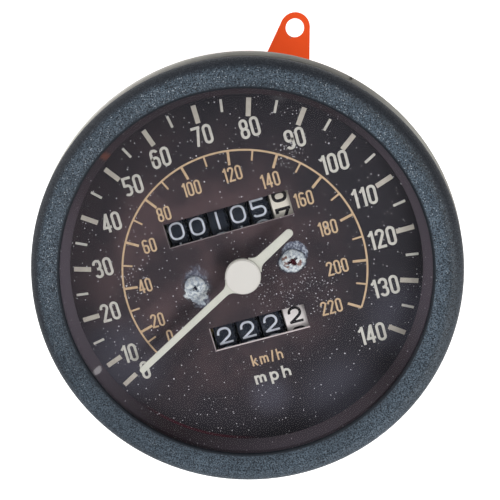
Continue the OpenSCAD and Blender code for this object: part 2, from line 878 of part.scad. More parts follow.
module movement_screws() {
  color([0.62, 0.62, 0.6])
    for (s = [-1, 1])
      translate([0, s * pillar_y, 0])
        difference() {
          union() {
            rod(screw_r - 0.02, -cut, screw_l);
            rod(screw_head_r, -screw_head_t, 0);
          }
          for (a = [0, 90])
            rotate(a)
              translate([0, 0, -screw_head_t])
                cube([1.1 * screw_head_r, screw_cross_w, screw_head_t], center = true);
        }
}

module mounting_studs() {
  color([0.66, 0.66, 0.64])
    at_studs() {
      rod(stud_r - 0.01, -stud_l + stud_chamfer, floor_z);
      translate([0, 0, -stud_l])
        cylinder(r1 = stud_r - stud_chamfer, r2 = stud_r - 0.01, h = stud_chamfer);
      rod(stud_head_r, floor_z, floor_z + stud_head_t);
    }
}

module mounting_bracket() {
  // the straight edges meet the round end a hair inside it, so they cross cleanly
  side_r = lug_r - 0.02;
  function edge(a, side) = [lug_x + side_r * cos(a + side), lug_y + side_r * sin(a + side)];
  left = edge(lug_left_a, 90);
  right = edge(lug_right_a, -90);
  foot_left = left - lug_left_l * [cos(lug_left_a), sin(lug_left_a)];
  foot_right = right - lug_right_l * [cos(lug_right_a), sin(lug_right_a)];
  color([0.89, 0.29, 0.12])
    translate([0, 0, -bracket_t])
      linear_extrude(bracket_t)
        difference() {
          union() {
            circle(bracket_ro);
            translate([lug_x, lug_y])
              circle(lug_r);
            polygon([left, foot_left, foot_right, right]);
          }
          circle(bracket_ri);
          at_studs()
            circle(stud_r + stud_clear);
          translate([lug_x, lug_y])
            circle(lug_hole_r);
        }
}

module stud_washers() {
  color([0.7, 0.7, 0.66])
    at_studs()
      tube(washer_r, stud_r + 0.15, -bracket_t - washer_t, -bracket_t);
}

module stud_nuts() {
  top = -bracket_t - washer_t;
  color([0.7, 0.7, 0.66])
    at_studs()
      difference() {
        translate([0, 0, top - nut_h])
          cylinder(r = nut_af / sqrt(3), h = nut_h, $fn = 6);
        rod(stud_r + 0.02, top - nut_h - cut, top + cut);
      }
}

bezel_ring();
glass();
glass_gasket();
spacer_ring();
dial_plate();
dial_screws();
pointer();
pointer_spindle();
speed_cup();
hairspring();
spindle_bush();
movement_frame();
drive_bush();
drive_shaft();
magnet();
return_cup();
cross_shaft();
odo_lay_shaft();
trip_lay_shaft();
odo_shaft();
odo_pinion_rod();
for (i = [1 : odo_n])
  odo_drum(i);
for (i = [1 : odo_n - 1])
  odo_pinion(i);
trip_shaft();
trip_pinion_rod();
for (i = [1 : trip_n])
  trip_drum(i);
for (i = [1 : trip_n - 1])
  trip_pinion(i);
reset_shaft();
reset_knob();
case_cup();
movement_screws();
mounting_studs();
mounting_bracket();
stud_washers();
stud_nuts();
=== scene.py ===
import json
import math

import bmesh
import bpy
from mathutils import Matrix, Vector


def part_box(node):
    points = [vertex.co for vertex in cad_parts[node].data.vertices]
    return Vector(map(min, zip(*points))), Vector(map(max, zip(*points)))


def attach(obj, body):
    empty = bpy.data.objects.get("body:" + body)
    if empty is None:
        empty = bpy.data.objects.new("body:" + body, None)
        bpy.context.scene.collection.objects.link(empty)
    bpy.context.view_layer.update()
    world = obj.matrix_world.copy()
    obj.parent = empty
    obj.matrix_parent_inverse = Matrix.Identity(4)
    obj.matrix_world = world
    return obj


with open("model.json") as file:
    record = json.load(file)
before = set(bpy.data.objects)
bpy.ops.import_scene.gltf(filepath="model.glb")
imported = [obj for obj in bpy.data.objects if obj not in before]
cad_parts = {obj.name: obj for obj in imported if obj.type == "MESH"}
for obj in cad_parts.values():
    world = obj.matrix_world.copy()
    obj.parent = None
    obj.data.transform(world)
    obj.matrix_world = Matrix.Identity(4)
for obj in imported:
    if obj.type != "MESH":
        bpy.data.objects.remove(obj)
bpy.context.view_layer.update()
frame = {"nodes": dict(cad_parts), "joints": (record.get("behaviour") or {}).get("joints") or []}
scene = bpy.context.scene
nodes = frame["nodes"]
mm = 0.001
print("speedometer: frame loaded,", len(nodes), "nodes")

# camera, placed by the ticks, rings and windows of the picture
camera = {
    "place": (0.0167, 0.04004, 0.25845),
    "right": (0.9542, -0.2853, -0.0904),
    "back": (0.1457, 0.1788, 0.973),
    "lens": 63.2,
    "sensor": 36,
    "shift": (0.1311, 0.0585),
    "nearest": 0.01,
}
back = Vector(camera["back"]).normalized()
right = Vector(camera["right"])
right = (right - back * right.dot(back)).normalized()
up = back.cross(right)
camData = bpy.data.cameras.new("camera")
camData.lens = camera["lens"]
camData.sensor_width = camera["sensor"]
camData.shift_x, camData.shift_y = camera["shift"]
camData.clip_start = camera["nearest"]
camObject = bpy.data.objects.new("camera", camData)
camMatrix = Matrix((right, up, back)).transposed().to_4x4()
camMatrix.translation = Vector(camera["place"])
camObject.matrix_world = camMatrix
scene.collection.objects.link(camObject)
scene.camera = camObject
scene.view_settings.view_transform = "Standard"
print("camera set")


# node helpers; finishes holds the materials by name

finishes = {}


def newMaterial(name):
    finishes[name] = bpy.data.materials.new(name)
    finishes[name].use_nodes = True
    tree = finishes[name].node_tree
    return tree, tree.nodes["Principled BSDF"]


def addNode(tree, kind, **values):
    made = tree.nodes.new(kind)
    for key, value in values.items():
        setattr(made, key, value)
    return made


def feed(tree, source, target):
    # a socket is linked, a plain value is set, and a colour of three numbers gets its alpha
    if isinstance(source, bpy.types.NodeSocket):
        tree.links.new(source, target)
    else:
        target.default_value = (*source, 1) if target.type == "RGBA" else source


def mathNode(tree, operation, *inputs):
    made = addNode(tree, "ShaderNodeMath", operation=operation)
    for socket, value in zip(made.inputs, inputs):
        feed(tree, value, socket)
    return made.outputs[0]


def vectorNode(tree, operation, *inputs):
    made = addNode(tree, "ShaderNodeVectorMath", operation=operation)
    for socket, value in zip(made.inputs, inputs):
        feed(tree, value, socket)
    return made.outputs


def times(tree, first, second):
    return mathNode(tree, "MULTIPLY", first, second)


def larger(tree, first, second):
    return mathNode(tree, "MAXIMUM", first, second)


def minus(tree, first, second):
    return mathNode(tree, "SUBTRACT", first, second)


def mixColour(tree, amount, first, second, share=None):
    # a share lowers the amount of the second colour; inputs 6 and 7 and output 2 are the colours'
    made = addNode(tree, "ShaderNodeMix", data_type="RGBA")
    feed(tree, amount if share is None else times(tree, amount, share), made.inputs[0])
    feed(tree, first, made.inputs[6])
    feed(tree, second, made.inputs[7])
    return made.outputs[2]


def remap(tree, value, low=0.0, high=1.0, outLow=0.0, outHigh=1.0, smooth=True):
    made = addNode(tree, "ShaderNodeMapRange", interpolation_type="SMOOTHSTEP" if smooth else "LINEAR")
    for socket, item in zip(made.inputs, (value, low, high, outLow, outHigh)):
        feed(tree, item, socket)
    return made.outputs[0]


def noiseNode(tree, vector, scale, detail=3.0, rough=0.5):
    made = addNode(tree, "ShaderNodeTexNoise")
    feed(tree, vector, made.inputs["Vector"])
    feed(tree, scale, made.inputs["Scale"])
    made.inputs["Detail"].default_value = detail
    made.inputs["Roughness"].default_value = rough
    return made.outputs["Fac"]


def placeOf(tree):
    return addNode(tree, "ShaderNodeTexCoord").outputs["Object"]


def axisOf(tree, vector, index):
    made = addNode(tree, "ShaderNodeSeparateXYZ")
    feed(tree, vector, made.inputs[0])
    return made.outputs[index]


def distanceTo(tree, vector, point=(0, 0)):
    # distance from a point, seen along the dial's axis
    moved = vectorNode(tree, "SUBTRACT", vector, (point[0], point[1], 0.0))[0]
    level = vectorNode(tree, "MULTIPLY", moved, (1, 1, 0))[0]
    return vectorNode(tree, "LENGTH", level)["Value"]


def spotAt(tree, vector, spot, ragged=None):
    # 1 within the inner radius, 0 past the outer one, with a ragged rim
    x, y, inner, outer = spot
    far = distanceTo(tree, vector, (x, y))
    if ragged is not None:
        far = mathNode(tree, "ADD", far, ragged)
    return remap(tree, far, inner, outer, 1.0, 0.0)


def newGroup(name, inputs, outputs):
    group = bpy.data.node_groups.new(name, "ShaderNodeTree")
    for label, value in inputs.items():
        kind = "NodeSocketVector" if value is None else "NodeSocketFloat"
        socket = group.interface.new_socket(name=label, in_out="INPUT", socket_type=kind)
        if value is not None:
            socket.default_value = value
    for label in outputs:
        group.interface.new_socket(name=label, in_out="OUTPUT", socket_type="NodeSocketFloat")
    return group, group.nodes.new("NodeGroupInput").outputs, group.nodes.new("NodeGroupOutput").inputs


def useGroup(tree, group, place, **values):
    made = addNode(tree, "ShaderNodeGroup", node_tree=group)
    feed(tree, place, made.inputs["Vector"])
    for key, value in values.items():
        feed(tree, value, made.inputs[key])
    return made.outputs


def bumpTo(tree, shader, height, strength, distance):
    bump = addNode(tree, "ShaderNodeBump")
    bump.inputs["Strength"].default_value = strength
    bump.inputs["Distance"].default_value = distance
    feed(tree, height, bump.inputs["Height"])
    tree.links.new(bump.outputs[0], shader.inputs["Normal"])


def surfaceFrom(tree, kind, *sources):
    # a mix or a sum of shaders becomes the surface
    made = addNode(tree, kind)
    for socket, source in zip(made.inputs, sources):
        tree.links.new(source, socket)
    tree.links.new(made.outputs[0], tree.nodes["Material Output"].inputs["Surface"])


# shared effects, built once and placed in many materials; a noise is detail and roughness
effects = {
    "grainNoise": (2.0, 0.6),
    "grainShade": (0.36, 0.64),
    "speckLeast": 0.5,
    "speckDimmest": 0.35,
    "speckEdge": (0.6, 1.0, 1.0, 0.0),
    "blotchNoise": (5.0, 0.6),
    "toolStretch": (1, 1, 9),
    "toolDetail": 2.0,
    "stainScale": 0.06,
    "stainNoise": (5.0, 0.65),
    "stainBand": (0.48, 0.7),
}


def makeGrain():
    # moulded or cast grain: a shade from 0 to 1 and a height; the mix takes inputs 2 and 3
    inputs = {"Vector": None, "Size": 0.0003, "Coarse": 0.5}
    group, start, end = newGroup("surfaceGrain", inputs, ["Shade", "Height"])
    scale = mathNode(group, "DIVIDE", 1.0, start["Size"])
    fine = noiseNode(group, start["Vector"], scale, *effects["grainNoise"])
    cells = addNode(group, "ShaderNodeTexVoronoi")
    feed(group, start["Vector"], cells.inputs["Vector"])
    feed(group, scale, cells.inputs["Scale"])
    mixed = addNode(group, "ShaderNodeMix", data_type="FLOAT")
    feed(group, start["Coarse"], mixed.inputs[0])
    feed(group, fine, mixed.inputs[2])
    feed(group, cells.outputs["Distance"], mixed.inputs[3])
    feed(group, remap(group, mixed.outputs[0], *effects["grainShade"]), end["Shade"])
    feed(group, mixed.outputs[0], end["Height"])
    return group


def makeSpecks(name, dimensions):
    # scattered round specks of dust, which on the bezel serve as painted glints: a mask, flat along the
    # axis or solid
    inputs = {"Vector": None, "Spacing": 0.0012, "Share": 0.3, "Size": 0.16}
    group, start, end = newGroup(name, inputs, ["Mask"])
    cells = addNode(group, "ShaderNodeTexVoronoi", voronoi_dimensions=dimensions)
    feed(group, start["Vector"], cells.inputs["Vector"])
    feed(group, mathNode(group, "DIVIDE", 1.0, start["Spacing"]), cells.inputs["Scale"])
    # each cell's random colour says whether its speck is kept, how large it is and how bright
    draws = [axisOf(group, cells.outputs["Color"], index) for index in range(3)]
    kept = mathNode(group, "LESS_THAN", draws[0], start["Share"])
    least = remap(group, draws[1], outLow=effects["speckLeast"], smooth=False)
    bright = remap(group, draws[2], outLow=effects["speckDimmest"], smooth=False)
    near = mathNode(group, "DIVIDE", cells.outputs["Distance"], times(group, start["Size"], least))
    lit = times(group, remap(group, near, *effects["speckEdge"]), bright)
    feed(group, times(group, lit, kept), end["Mask"])
    return group


def makeBlotches():
    # slow change of tone over a surface: a mask from 0 to 1
    inputs = {"Vector": None, "Size": 0.02, "Soft": 0.12}
    group, start, end = newGroup("toneBlotches", inputs, ["Mask"])
    scale = mathNode(group, "DIVIDE", 1.0, start["Size"])
    noise = noiseNode(group, start["Vector"], scale, *effects["blotchNoise"])
    low = minus(group, 0.5, start["Soft"])
    high = mathNode(group, "ADD", 0.5, start["Soft"])
    feed(group, remap(group, noise, low, high), end["Mask"])
    return group


def makeTooling():
    # turned or drawn metal: fine lines across the axis and a few stains
    inputs = {"Vector": None, "Pitch": 0.0004}
    group, start, end = newGroup("toolMarks", inputs, ["Lines", "Stain"])
    stretched = vectorNode(group, "MULTIPLY", start["Vector"], effects["toolStretch"])[0]
    scale = mathNode(group, "DIVIDE", 1.0, start["Pitch"])
    feed(group, noiseNode(group, stretched, scale, effects["toolDetail"]), end["Lines"])
    slow = times(group, scale, effects["stainScale"])
    stained = noiseNode(group, start["Vector"], slow, *effects["stainNoise"])
    feed(group, remap(group, stained, *effects["stainBand"]), end["Stain"])
    return group


grain = makeGrain()
specks = makeSpecks("dustSpecks", "2D")
grits = makeSpecks("dustAndGlintGrits", "3D")
blotches = makeBlotches()
tooling = makeTooling()
print("shared effects made")


def grainOf(tree, place, look):
    return useGroup(tree, grain, place, **look["grain"])


def patchesOf(tree, place, look):
    return useGroup(tree, blotches, place, **look["patches"])["Mask"]


def dotsOf(tree, place, look, group):
    return useGroup(tree, group, place, **look["dots"])["Mask"]


def coat(tree, toned, mask, look, kind):
    # a colour of the settings laid over another, by a mask and the colour's own share
    return mixColour(tree, mask, toned, look[kind], look.get(kind + "Share"))


def paint(finish, *painted):
    for node in painted:
        nodes[node].data.materials.clear()
        nodes[node].data.materials.append(finishes[finish])


def addFinish(name, look, build, *painted):
    # build gives the colour, a value that the roughness follows and the height of the bump
    tree, shader = newMaterial(name)
    colour, varied, height = build(tree, placeOf(tree), look)
    feed(tree, colour, shader.inputs["Base Color"])
    rough = look["rough"] if varied is None else remap(tree, varied, 0.0, 1.0, *look["rough"])
    feed(tree, rough, shader.inputs["Roughness"])
    shader.inputs["Specular IOR Level"].default_value = look["specular"]
    if height is not None:
        bumpTo(tree, shader, height, *look["bump"])
    paint(name, *painted)


# plain materials: colour, second tone, roughness, metal, grain size in mm, strength of the bump
# and the nodes that take them
plainFinishes = {
    "rubberBlack": ((0.022, 0.022, 0.024), (0.05, 0.05, 0.05), 0.75, 0, 0.2, 0.3, ["glass_gasket"]),
    "steelGround": ((0.56, 0.56, 0.58), (0.3, 0.28, 0.25), 0.32, 1, 0.25, 0.15,
                    ["pointer_spindle", "drive_shaft", "odo_shaft", "odo_pinion_rod", "trip_pinion_rod",
                     "reset_shaft"]),
    "aluminiumSpun": ((0.72, 0.72, 0.74), (0.5, 0.5, 0.5), 0.38, 1, 0.3, 0.15, ["speed_cup"]),
    "bronzeSintered": ((0.56, 0.4, 0.18), (0.3, 0.18, 0.08), 0.5, 1, 0.2, 0.3,
                       ["hairspring", "spindle_bush", "drive_bush"]),
    "zincCast": ((0.5, 0.5, 0.48), (0.32, 0.32, 0.3), 0.55, 0.9, 0.6, 0.5, ["movement_frame"]),
    "magnetDark": ((0.09, 0.09, 0.1), (0.16, 0.13, 0.1), 0.55, 0.8, 0.3, 0.4, ["magnet"]),
    "steelDull": ((0.4, 0.38, 0.34), (0.22, 0.15, 0.1), 0.45, 1, 0.4, 0.2, ["return_cup"]),
    "brassCut": ((0.62, 0.47, 0.2), (0.36, 0.24, 0.1), 0.35, 1, 0.3, 0.15,
                 ["cross_shaft", "odo_lay_shaft", "trip_lay_shaft", "trip_shaft"]),
    "nylonNatural": ((0.68, 0.65, 0.55), (0.5, 0.46, 0.36), 0.45, 0, 0.4, 0.1,
                     [name for name in nodes if "_pinion_" in name and not name.endswith("rod")]),
    "knobBlack": ((0.018, 0.018, 0.02), (0.06, 0.06, 0.06), 0.42, 0, 0.35, 0.25, ["reset_knob"]),
    "zincPlate": ((0.58, 0.58, 0.54), (0.34, 0.3, 0.22), 0.38, 1, 0.3, 0.2,
                  ["movement_screws", "mounting_studs", "stud_washers", "stud_nuts"]),
}
# shared by the plain materials; the pitch of the tool marks is in grains
plainWear = {
    "coarse": 0.3,
    "pitch": 1.5,
    "patches": dict(Size=6 * mm, Soft=0.12),
    "toneShare": 0.45,
    "stainShare": 0.5,
    "lines": (0.3, 0.7),
    "spread": (-0.06, 0.14),
    "depth": 0.08 * mm,
}


def plainMaterial(name, colour, tone, rough, metal, size, strength, painted):
    tree, shader = newMaterial(name)
    place = placeOf(tree)
    grained = useGroup(tree, grain, place, Size=size * mm, Coarse=plainWear["coarse"])
    marks = useGroup(tree, tooling, place, Pitch=size * plainWear["pitch"] * mm)
    patches = patchesOf(tree, place, plainWear)
    toned = mixColour(tree, patches, colour, tone, plainWear["toneShare"])
    toned = mixColour(tree, marks["Stain"], toned, tone, plainWear["stainShare"])
    feed(tree, toned, shader.inputs["Base Color"])
    shader.inputs["Metallic"].default_value = metal
    low, high = [min(rough + more, 1) for more in plainWear["spread"]]
    feed(tree, remap(tree, marks["Lines"], *plainWear["lines"], low, high), shader.inputs["Roughness"])
    bumpTo(tree, shader, grained["Height"], strength, plainWear["depth"])
    paint(name, *painted)


for name, finish in plainFinishes.items():
    plainMaterial(name, *finish)
print("plain finishes made:", len(finishes))


# bezel: weathered black plastic, bleached blue-grey inside and smoother over the shoulder; painted
# shade darkens the shoulder, most on the upper side, and the inner edge, and painted glints lie mostly
# on the upper side;
# a band is a range of radius, a side a range of x or y and a reach a distance, with what they remap to
bezel = {
    "dark": (0.008, 0.011, 0.016),
    "light": (0.1, 0.135, 0.172),
    "shoulder": (0.008, 0.0095, 0.014),
    "glint": (0.42, 0.47, 0.52),
    "dull": (0.034, 0.035, 0.036),
    "patches": dict(Size=11 * mm, Soft=0.2),
    "patchSpread": (0.75, 1.1),
    "innerBand": (43.6 * mm, 45.4 * mm, 0.75, 1.08),
    "rightSide": (20 * mm, 44 * mm),
    "paleBand": (43.6 * mm, 45.4 * mm, 0.45, 0.0),
    "dullBand": (45.3 * mm, 47.3 * mm, 0.0, 0.5),
    "dimPlace": (-0.043, -0.02),
    "dimReach": (10 * mm, 36 * mm, 0.72, 1.0),
    "dots": dict(Spacing=0.42 * mm, Share=0.5, Size=0.4),
    "glintSide": (-25 * mm, 15 * mm, 0.35, 1.1),
    "shoulderBand": (46.6 * mm, 48.4 * mm),
    "shoulderSide": (-25 * mm, 12 * mm, 0.2, 0.9),
    "edgeShadeBand": (43.35 * mm, 43.65 * mm, 1.0, 0.0),
    "grain": dict(Size=0.3 * mm, Coarse=0.3),
    "rough": (0.7, 0.5),
    "specular": 0.2,
    "bump": (0.5, 0.2 * mm),
}


def bezelLook(tree, place, look):
    grained = grainOf(tree, place, look)
    patches = patchesOf(tree, place, look)
    radius = distanceTo(tree, place)
    upward = axisOf(tree, place, 1)
    # at the right the inner face is paler, and the outer one darker and greyer
    rightSide = remap(tree, axisOf(tree, place, 0), *look["rightSide"])
    paler = times(tree, rightSide, remap(tree, radius, *look["paleBand"]))
    lift = mathNode(tree, "ADD", remap(tree, radius, *look["innerBand"]), paler)
    lift = times(tree, lift, remap(tree, patches, 0.0, 1.0, *look["patchSpread"], False))
    lift = times(tree, lift, remap(tree, distanceTo(tree, place, look["dimPlace"]), *look["dimReach"]))
    face = mixColour(tree, grained["Shade"], look["dark"], look["light"], lift)
    # painted glints: bright specks of colour that stand in for highlights on the grain, more of them on
    # the upper side
    glints = times(tree, dotsOf(tree, place, look, grits), lift)
    face = mixColour(tree, glints, face, look["glint"], remap(tree, upward, *look["glintSide"]))
    face = mixColour(tree, rightSide, face, look["dull"], remap(tree, radius, *look["dullBand"]))
    # painted shade over the shoulder, strongest on the upper side, which turns away from the key lamp
    kept = remap(tree, upward, *look["shoulderSide"])
    shoulder = remap(tree, radius, *look["shoulderBand"])
    face = mixColour(tree, shoulder, face, look["shoulder"], kept)
    # painted shade: a dark line along the bezel's inner edge, where the gap to the glass lies in shadow
    face = mixColour(tree, remap(tree, radius, *look["edgeShadeBand"]), face, look["dark"])
    return face, grained["Shade"], grained["Height"]


addFinish("bezelPlastic", bezel, bezelLook, "bezel_ring")


# case: matt warm grey paint, paler in patches, with painted light towards the upper left side, and a
# little dirty all over
caseCup = {
    "grey": (0.31, 0.302, 0.275),
    "paleAndLit": (0.72, 0.7, 0.65),
    "dirt": (0.14, 0.132, 0.115),
    "litPlace": (-0.036, 0.042),
    "litReach": (15 * mm, 62 * mm, 0.9, 0.0),
    "patches": dict(Size=25 * mm, Soft=0.16),
    "patchShare": 0.3,
    "soil": dict(Size=3 * mm, Soft=0.3),
    "dirtShare": 0.16,
    "grain": dict(Size=0.4 * mm, Coarse=0.2),
    "rough": (0.5, 0.66),
    "specular": 0.3,
    "bump": (0.25, 0.1 * mm),
}


def caseLook(tree, place, look):
    patches = patchesOf(tree, place, look)
    soil = useGroup(tree, blotches, place, **look["soil"])["Mask"]
    # painted light: the case is made paler towards its upper left side, standing in for the light that
    # falls on it there
    litSide = remap(tree, distanceTo(tree, place, look["litPlace"]), *look["litReach"])
    tone = larger(tree, litSide, times(tree, patches, look["patchShare"]))
    toned = mixColour(tree, tone, look["grey"], look["paleAndLit"])
    toned = coat(tree, toned, soil, look, "dirt")
    return toned, patches, grainOf(tree, place, look)["Height"]


addFinish("casePaint", caseCup, caseLook, "case_cup")


def patchedLook(tree, place, look):
    # a base that turns to a second tone in patches, with dots and a grain where they are set
    toned = coat(tree, look["base"], patchesOf(tree, place, look), look, "second")
    if "dots" in look:
        toned = coat(tree, toned, dotsOf(tree, place, look, grits), look, "dot")
    if "grain" not in look:
        return toned, None, None
    grained = grainOf(tree, place, look)
    return toned, grained["Shade"] if isinstance(look["rough"], tuple) else None, grained["Height"]


# bracket: orange enamel with a few chips
bracket = {
    "base": (0.95, 0.09, 0.012),
    "second": (0.84, 0.075, 0.01),
    "secondShare": 0.35,
    "patches": dict(Size=10 * mm, Soft=0.15),
    "dot": (0.25, 0.2, 0.16),
    "dots": dict(Spacing=3 * mm, Share=0.2, Size=0.16),
    "grain": dict(Size=0.9 * mm, Coarse=0.1),
    "rough": (0.4, 0.5),
    "specular": 0.2,
    "bump": (0.12, 0.1 * mm),
}
addFinish("bracketEnamel", bracket, patchedLook, "mounting_bracket")


# glass: clear, almost without reflection, and open to shadow rays so that the dial is lit
glassPane = {
    "clear": (0.99, 0.99, 0.99),
    "smeared": (0.96, 0.96, 0.965),
    "patches": dict(Size=14 * mm, Soft=0.2),
    "index": 1.12,
}
tree, shader = newMaterial("clearGlass")
smears = patchesOf(tree, placeOf(tree), glassPane)
tint = mixColour(tree, smears, glassPane["clear"], glassPane["smeared"])
feed(tree, tint, shader.inputs["Base Color"])
shader.inputs["Transmission Weight"].default_value = 1.0
shader.inputs["IOR"].default_value = glassPane["index"]
shader.inputs["Roughness"].default_value = 0.0
clear = addNode(tree, "ShaderNodeBsdfTransparent")
path = addNode(tree, "ShaderNodeLightPath").outputs
passed = larger(tree, path["Is Shadow Ray"], path["Is Diffuse Ray"])
surfaceFrom(tree, "ShaderNodeMixShader", passed, shader.outputs[0], clear.outputs[0])
paint("clearGlass", "glass")


# spacer ring: dark satin paint, paler at the sides and below, with one pale chip and a rusty spot
spacer = {
    "dark": (0.034, 0.028, 0.035),
    "light": (0.114, 0.098, 0.122),
    "brown": (0.05, 0.035, 0.041),
    "dust": (0.5, 0.48, 0.52),
    "rust": (0.22, 0.07, 0.04),
    "chip": (0.42, 0.4, 0.42),
    "patches": dict(Size=15 * mm, Soft=0.2),
    "brownShare": 0.6,
    "lightSides": (27 * mm, 43 * mm),
    "lightBelow": -0.85,
    "lightShare": 0.7,
    "dots": dict(Spacing=1.6 * mm, Share=0.25, Size=0.12),
    "dustShare": 0.6,
    "rimScale": 1400.0,
    "rim": 0.8 * mm,
    "rustSpot": (-0.0232, 0.0357, 0.6 * mm, 1.9 * mm),
    "rustShare": 0.45,
    "chipSpot": (-0.0408, -0.0134, 0.95 * mm, 1.35 * mm),
    "grain": dict(Size=0.5 * mm, Coarse=0.2),
    "rough": 0.6,
    "specular": 0.1,
    "bump": (0.15, 0.1 * mm),
}


def spacerLook(tree, place, look):
    toned = coat(tree, look["dark"], patchesOf(tree, place, look), look, "brown")
    aside = mathNode(tree, "ABSOLUTE", axisOf(tree, place, 0))
    below = times(tree, axisOf(tree, place, 1), look["lightBelow"])
    paled = remap(tree, larger(tree, aside, below), *look["lightSides"])
    toned = coat(tree, toned, paled, look, "light")
    toned = coat(tree, toned, dotsOf(tree, place, look, specks), look, "dust")
    ragged = times(tree, noiseNode(tree, place, look["rimScale"]), look["rim"])
    for kind in ("rust", "chip"):
        toned = coat(tree, toned, spotAt(tree, place, look[kind + "Spot"], ragged), look, kind)
    return toned, None, grainOf(tree, place, look)["Height"]


addFinish("spacerPaint", spacer, spacerLook, "spacer_ring")

# height of the dial's face and place of its right screw
dialLow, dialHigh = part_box("dial_plate")
dialFace = dialHigh.z
screwLow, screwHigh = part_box("dial_screws")
screwSide = screwHigh.x - (screwHigh.y - screwLow.y) / 2

# dial: satin black-brown, faded in patches and dusty; a place is x and y in metres, some with a reach,
# a spot has an inner and an outer radius, and a dust layer is spacing, size and amount
dial = {
    "black": (0.024, 0.0225, 0.0285),
    "brown": (0.08, 0.055, 0.061),
    "hazeAndSheen": (0.078, 0.078, 0.104),
    "arc": (0.11, 0.018, 0.03),
    "dust": (0.85, 0.84, 0.9),
    "cutEdge": (0.9, 0.79, 0.8),
    "patches": dict(Size=11 * mm, Soft=0.17),
    "patchSpread": (0.25, 1.08),
    "brownPlace": (-0.009, 0.003),
    "brownReach": (15 * mm, 42 * mm, 0.95, 0.03),
    "dimSpot": (0.0005, -0.0095, 3 * mm, 13 * mm),
    "dimShare": 0.4,
    "hazeAndSheenPlaces": {"left": (-0.035, -0.013, 0.015), "lowRight": (0.016, -0.037, 0.015),
                   "low": (-0.002, -0.031, 0.0075), "right": (0.0345, -0.021, 0.014)},
    "hazeAndSheenInner": 0.2,
    "hazeAndSheenShare": 0.55,
    "arcBand": (41.1 * mm, 41.6 * mm),
    "arcSpot": (-0.022, -0.0355, 5 * mm, 17 * mm),
    "arcShare": 0.5,
    "dustEverywhere": 0.075,
    "dustPatches": {"hub": (0.0045, -0.0068, 0.0085), "right": (0.0145, -0.009, 0.008),
                    "left": (-0.0255, 0.004, 0.006), "ninety": (0.0205, 0.0325, 0.0035),
                    "arc": (0.018, 0.0241, 0.005)},
    "dustInner": 0.4,
    "dustPatchShare": 0.85,
    "dustUneven": (0.42, 0.6, 0.25, 1.0),
    "dustUnevenScale": 260.0,
    "dustLayers": ((0.8 * mm, 0.2, 1.0), (1.5 * mm, 0.13, 1.0), (3.0 * mm, 0.07, 1.4)),
    "dustShare": 0.9,
    "smearSpot": (0.0196, 0.0385, 0.3 * mm, 3.2 * mm),
    "smearShare": 0.08,
    "windows": {"odometer": (15.21 * mm, 10.5 * mm, 16.3 * mm),
                "trip": (11.7 * mm, -16.9 * mm, -11.1 * mm)},
    "windowReach": 25 * mm,
    "lipBand": (0.084 * mm, 0.14 * mm, 1.0, 0.0),
    "lipOverlap": 0.02 * mm,
    "lipLeftShare": 0.35,
    "faceMargin": 0.03 * mm,
    "edgeBrightSide": (-1 * mm, 1 * mm, 1.0, 0.3),
    "rough": 0.7,
    "specular": 0.06,
}

# oxide crust on the dial screws and round them on the dial, with a blue-grey halo and streaks beside
# each screw: places in mm as x, y and the two half widths, with the softness of the rim; rims are
# wildly or gently ragged, and a noise is scale, detail and roughness
oxide = {
    "crust": (0.74, 0.78, 0.79),
    "blue": (0.36, 0.41, 0.48),
    "halo": (0.1, 0.115, 0.165),
    "streak": (0.5, 0.55, 0.63),
    "line": (0.02, 0.022, 0.035),
    "leftHalo": (-11.6, 0.3, 2.9, 4.0, 0.3),
    "leftTail": (-11.6, -3.9, 2.0, 1.5, 0.4),
    "leftCrust": (-12.05, -1.55, 2.6, 3.25, 0.08),
    "leftTop": (-11.97, -1.1, 3.4, 2.6, 0.15),
    "rightHalo": (12.95, 1.3, 3.05, 2.95, 0.06),
    "rightCrust": (11.87, -0.45, 3.1, 2.5, 0.08),
    "ragged": (900.0, 4.0, 0.6),
    "wild": 1.4,
    "gentle": 0.35,
    "leftShare": 0.75,
    "haloShare": 0.9,
    "streaks": (1900.0, 3.0, 0.7),
    "streakBand": (0.46, 0.6),
    "streakSide": (11 * mm, 15.5 * mm, 0.4, 0.85),
    "lineWidth": 0.45,
    "lineSoft": 0.05,
    "lineShare": 0.75,
    "lumps": (1500.0, 5.0, 0.65),
    "lumpBand": (0.42, 0.58),
}


def ovalAt(tree, place, oval, ragged):
    # 1 inside the oval and 0 outside, with a ragged and more or less soft rim
    x, y, across, along, soft = oval
    moved = vectorNode(tree, "SUBTRACT", place, (x * mm, y * mm, 0.0))[0]
    scaled = vectorNode(tree, "MULTIPLY", moved, (1 / (across * mm), 1 / (along * mm), 0.0))[0]
    far = mathNode(tree, "ADD", vectorNode(tree, "LENGTH", scaled)["Value"], ragged)
    return remap(tree, far, 1.0 - soft, 1.0 + soft, 1.0, 0.0)


def oxideTone(tree, place):
    # lumps of white crust on blue, and the lumps themselves
    lumps = noiseNode(tree, place, *oxide["lumps"])
    return mixColour(tree, remap(tree, lumps, *oxide["lumpBand"]), oxide["blue"], oxide["crust"]), lumps


def dialPaint(tree, place):
    patches = patchesOf(tree, place, dial)
    brown = remap(tree, distanceTo(tree, place, dial["brownPlace"]), *dial["brownReach"])
    brown = times(tree, brown, remap(tree, patches, 0.0, 1.0, *dial["patchSpread"], False))
    dim = times(tree, spotAt(tree, place, dial["dimSpot"]), dial["dimShare"])
    bright = minus(tree, 1.0, dim)
    toned = mixColour(tree, brown, dial["black"], dial["brown"], bright)
    # a blue-grey haze on the dial's colour: partly a dusty film on the glass and partly painted
    # reflection of the glass
    for x, y, reach in dial["hazeAndSheenPlaces"].values():
        hazeAndSheenSpot = spotAt(tree, place, (x, y, reach * dial["hazeAndSheenInner"], reach))
        toned = coat(tree, toned, hazeAndSheenSpot, dial, "hazeAndSheen")
    # a dark red line follows the dial's rim at the lower left
    edge = remap(tree, distanceTo(tree, place), *dial["arcBand"])
    reddened = times(tree, edge, spotAt(tree, place, dial["arcSpot"]))
    return coat(tree, toned, reddened, dial, "arc")


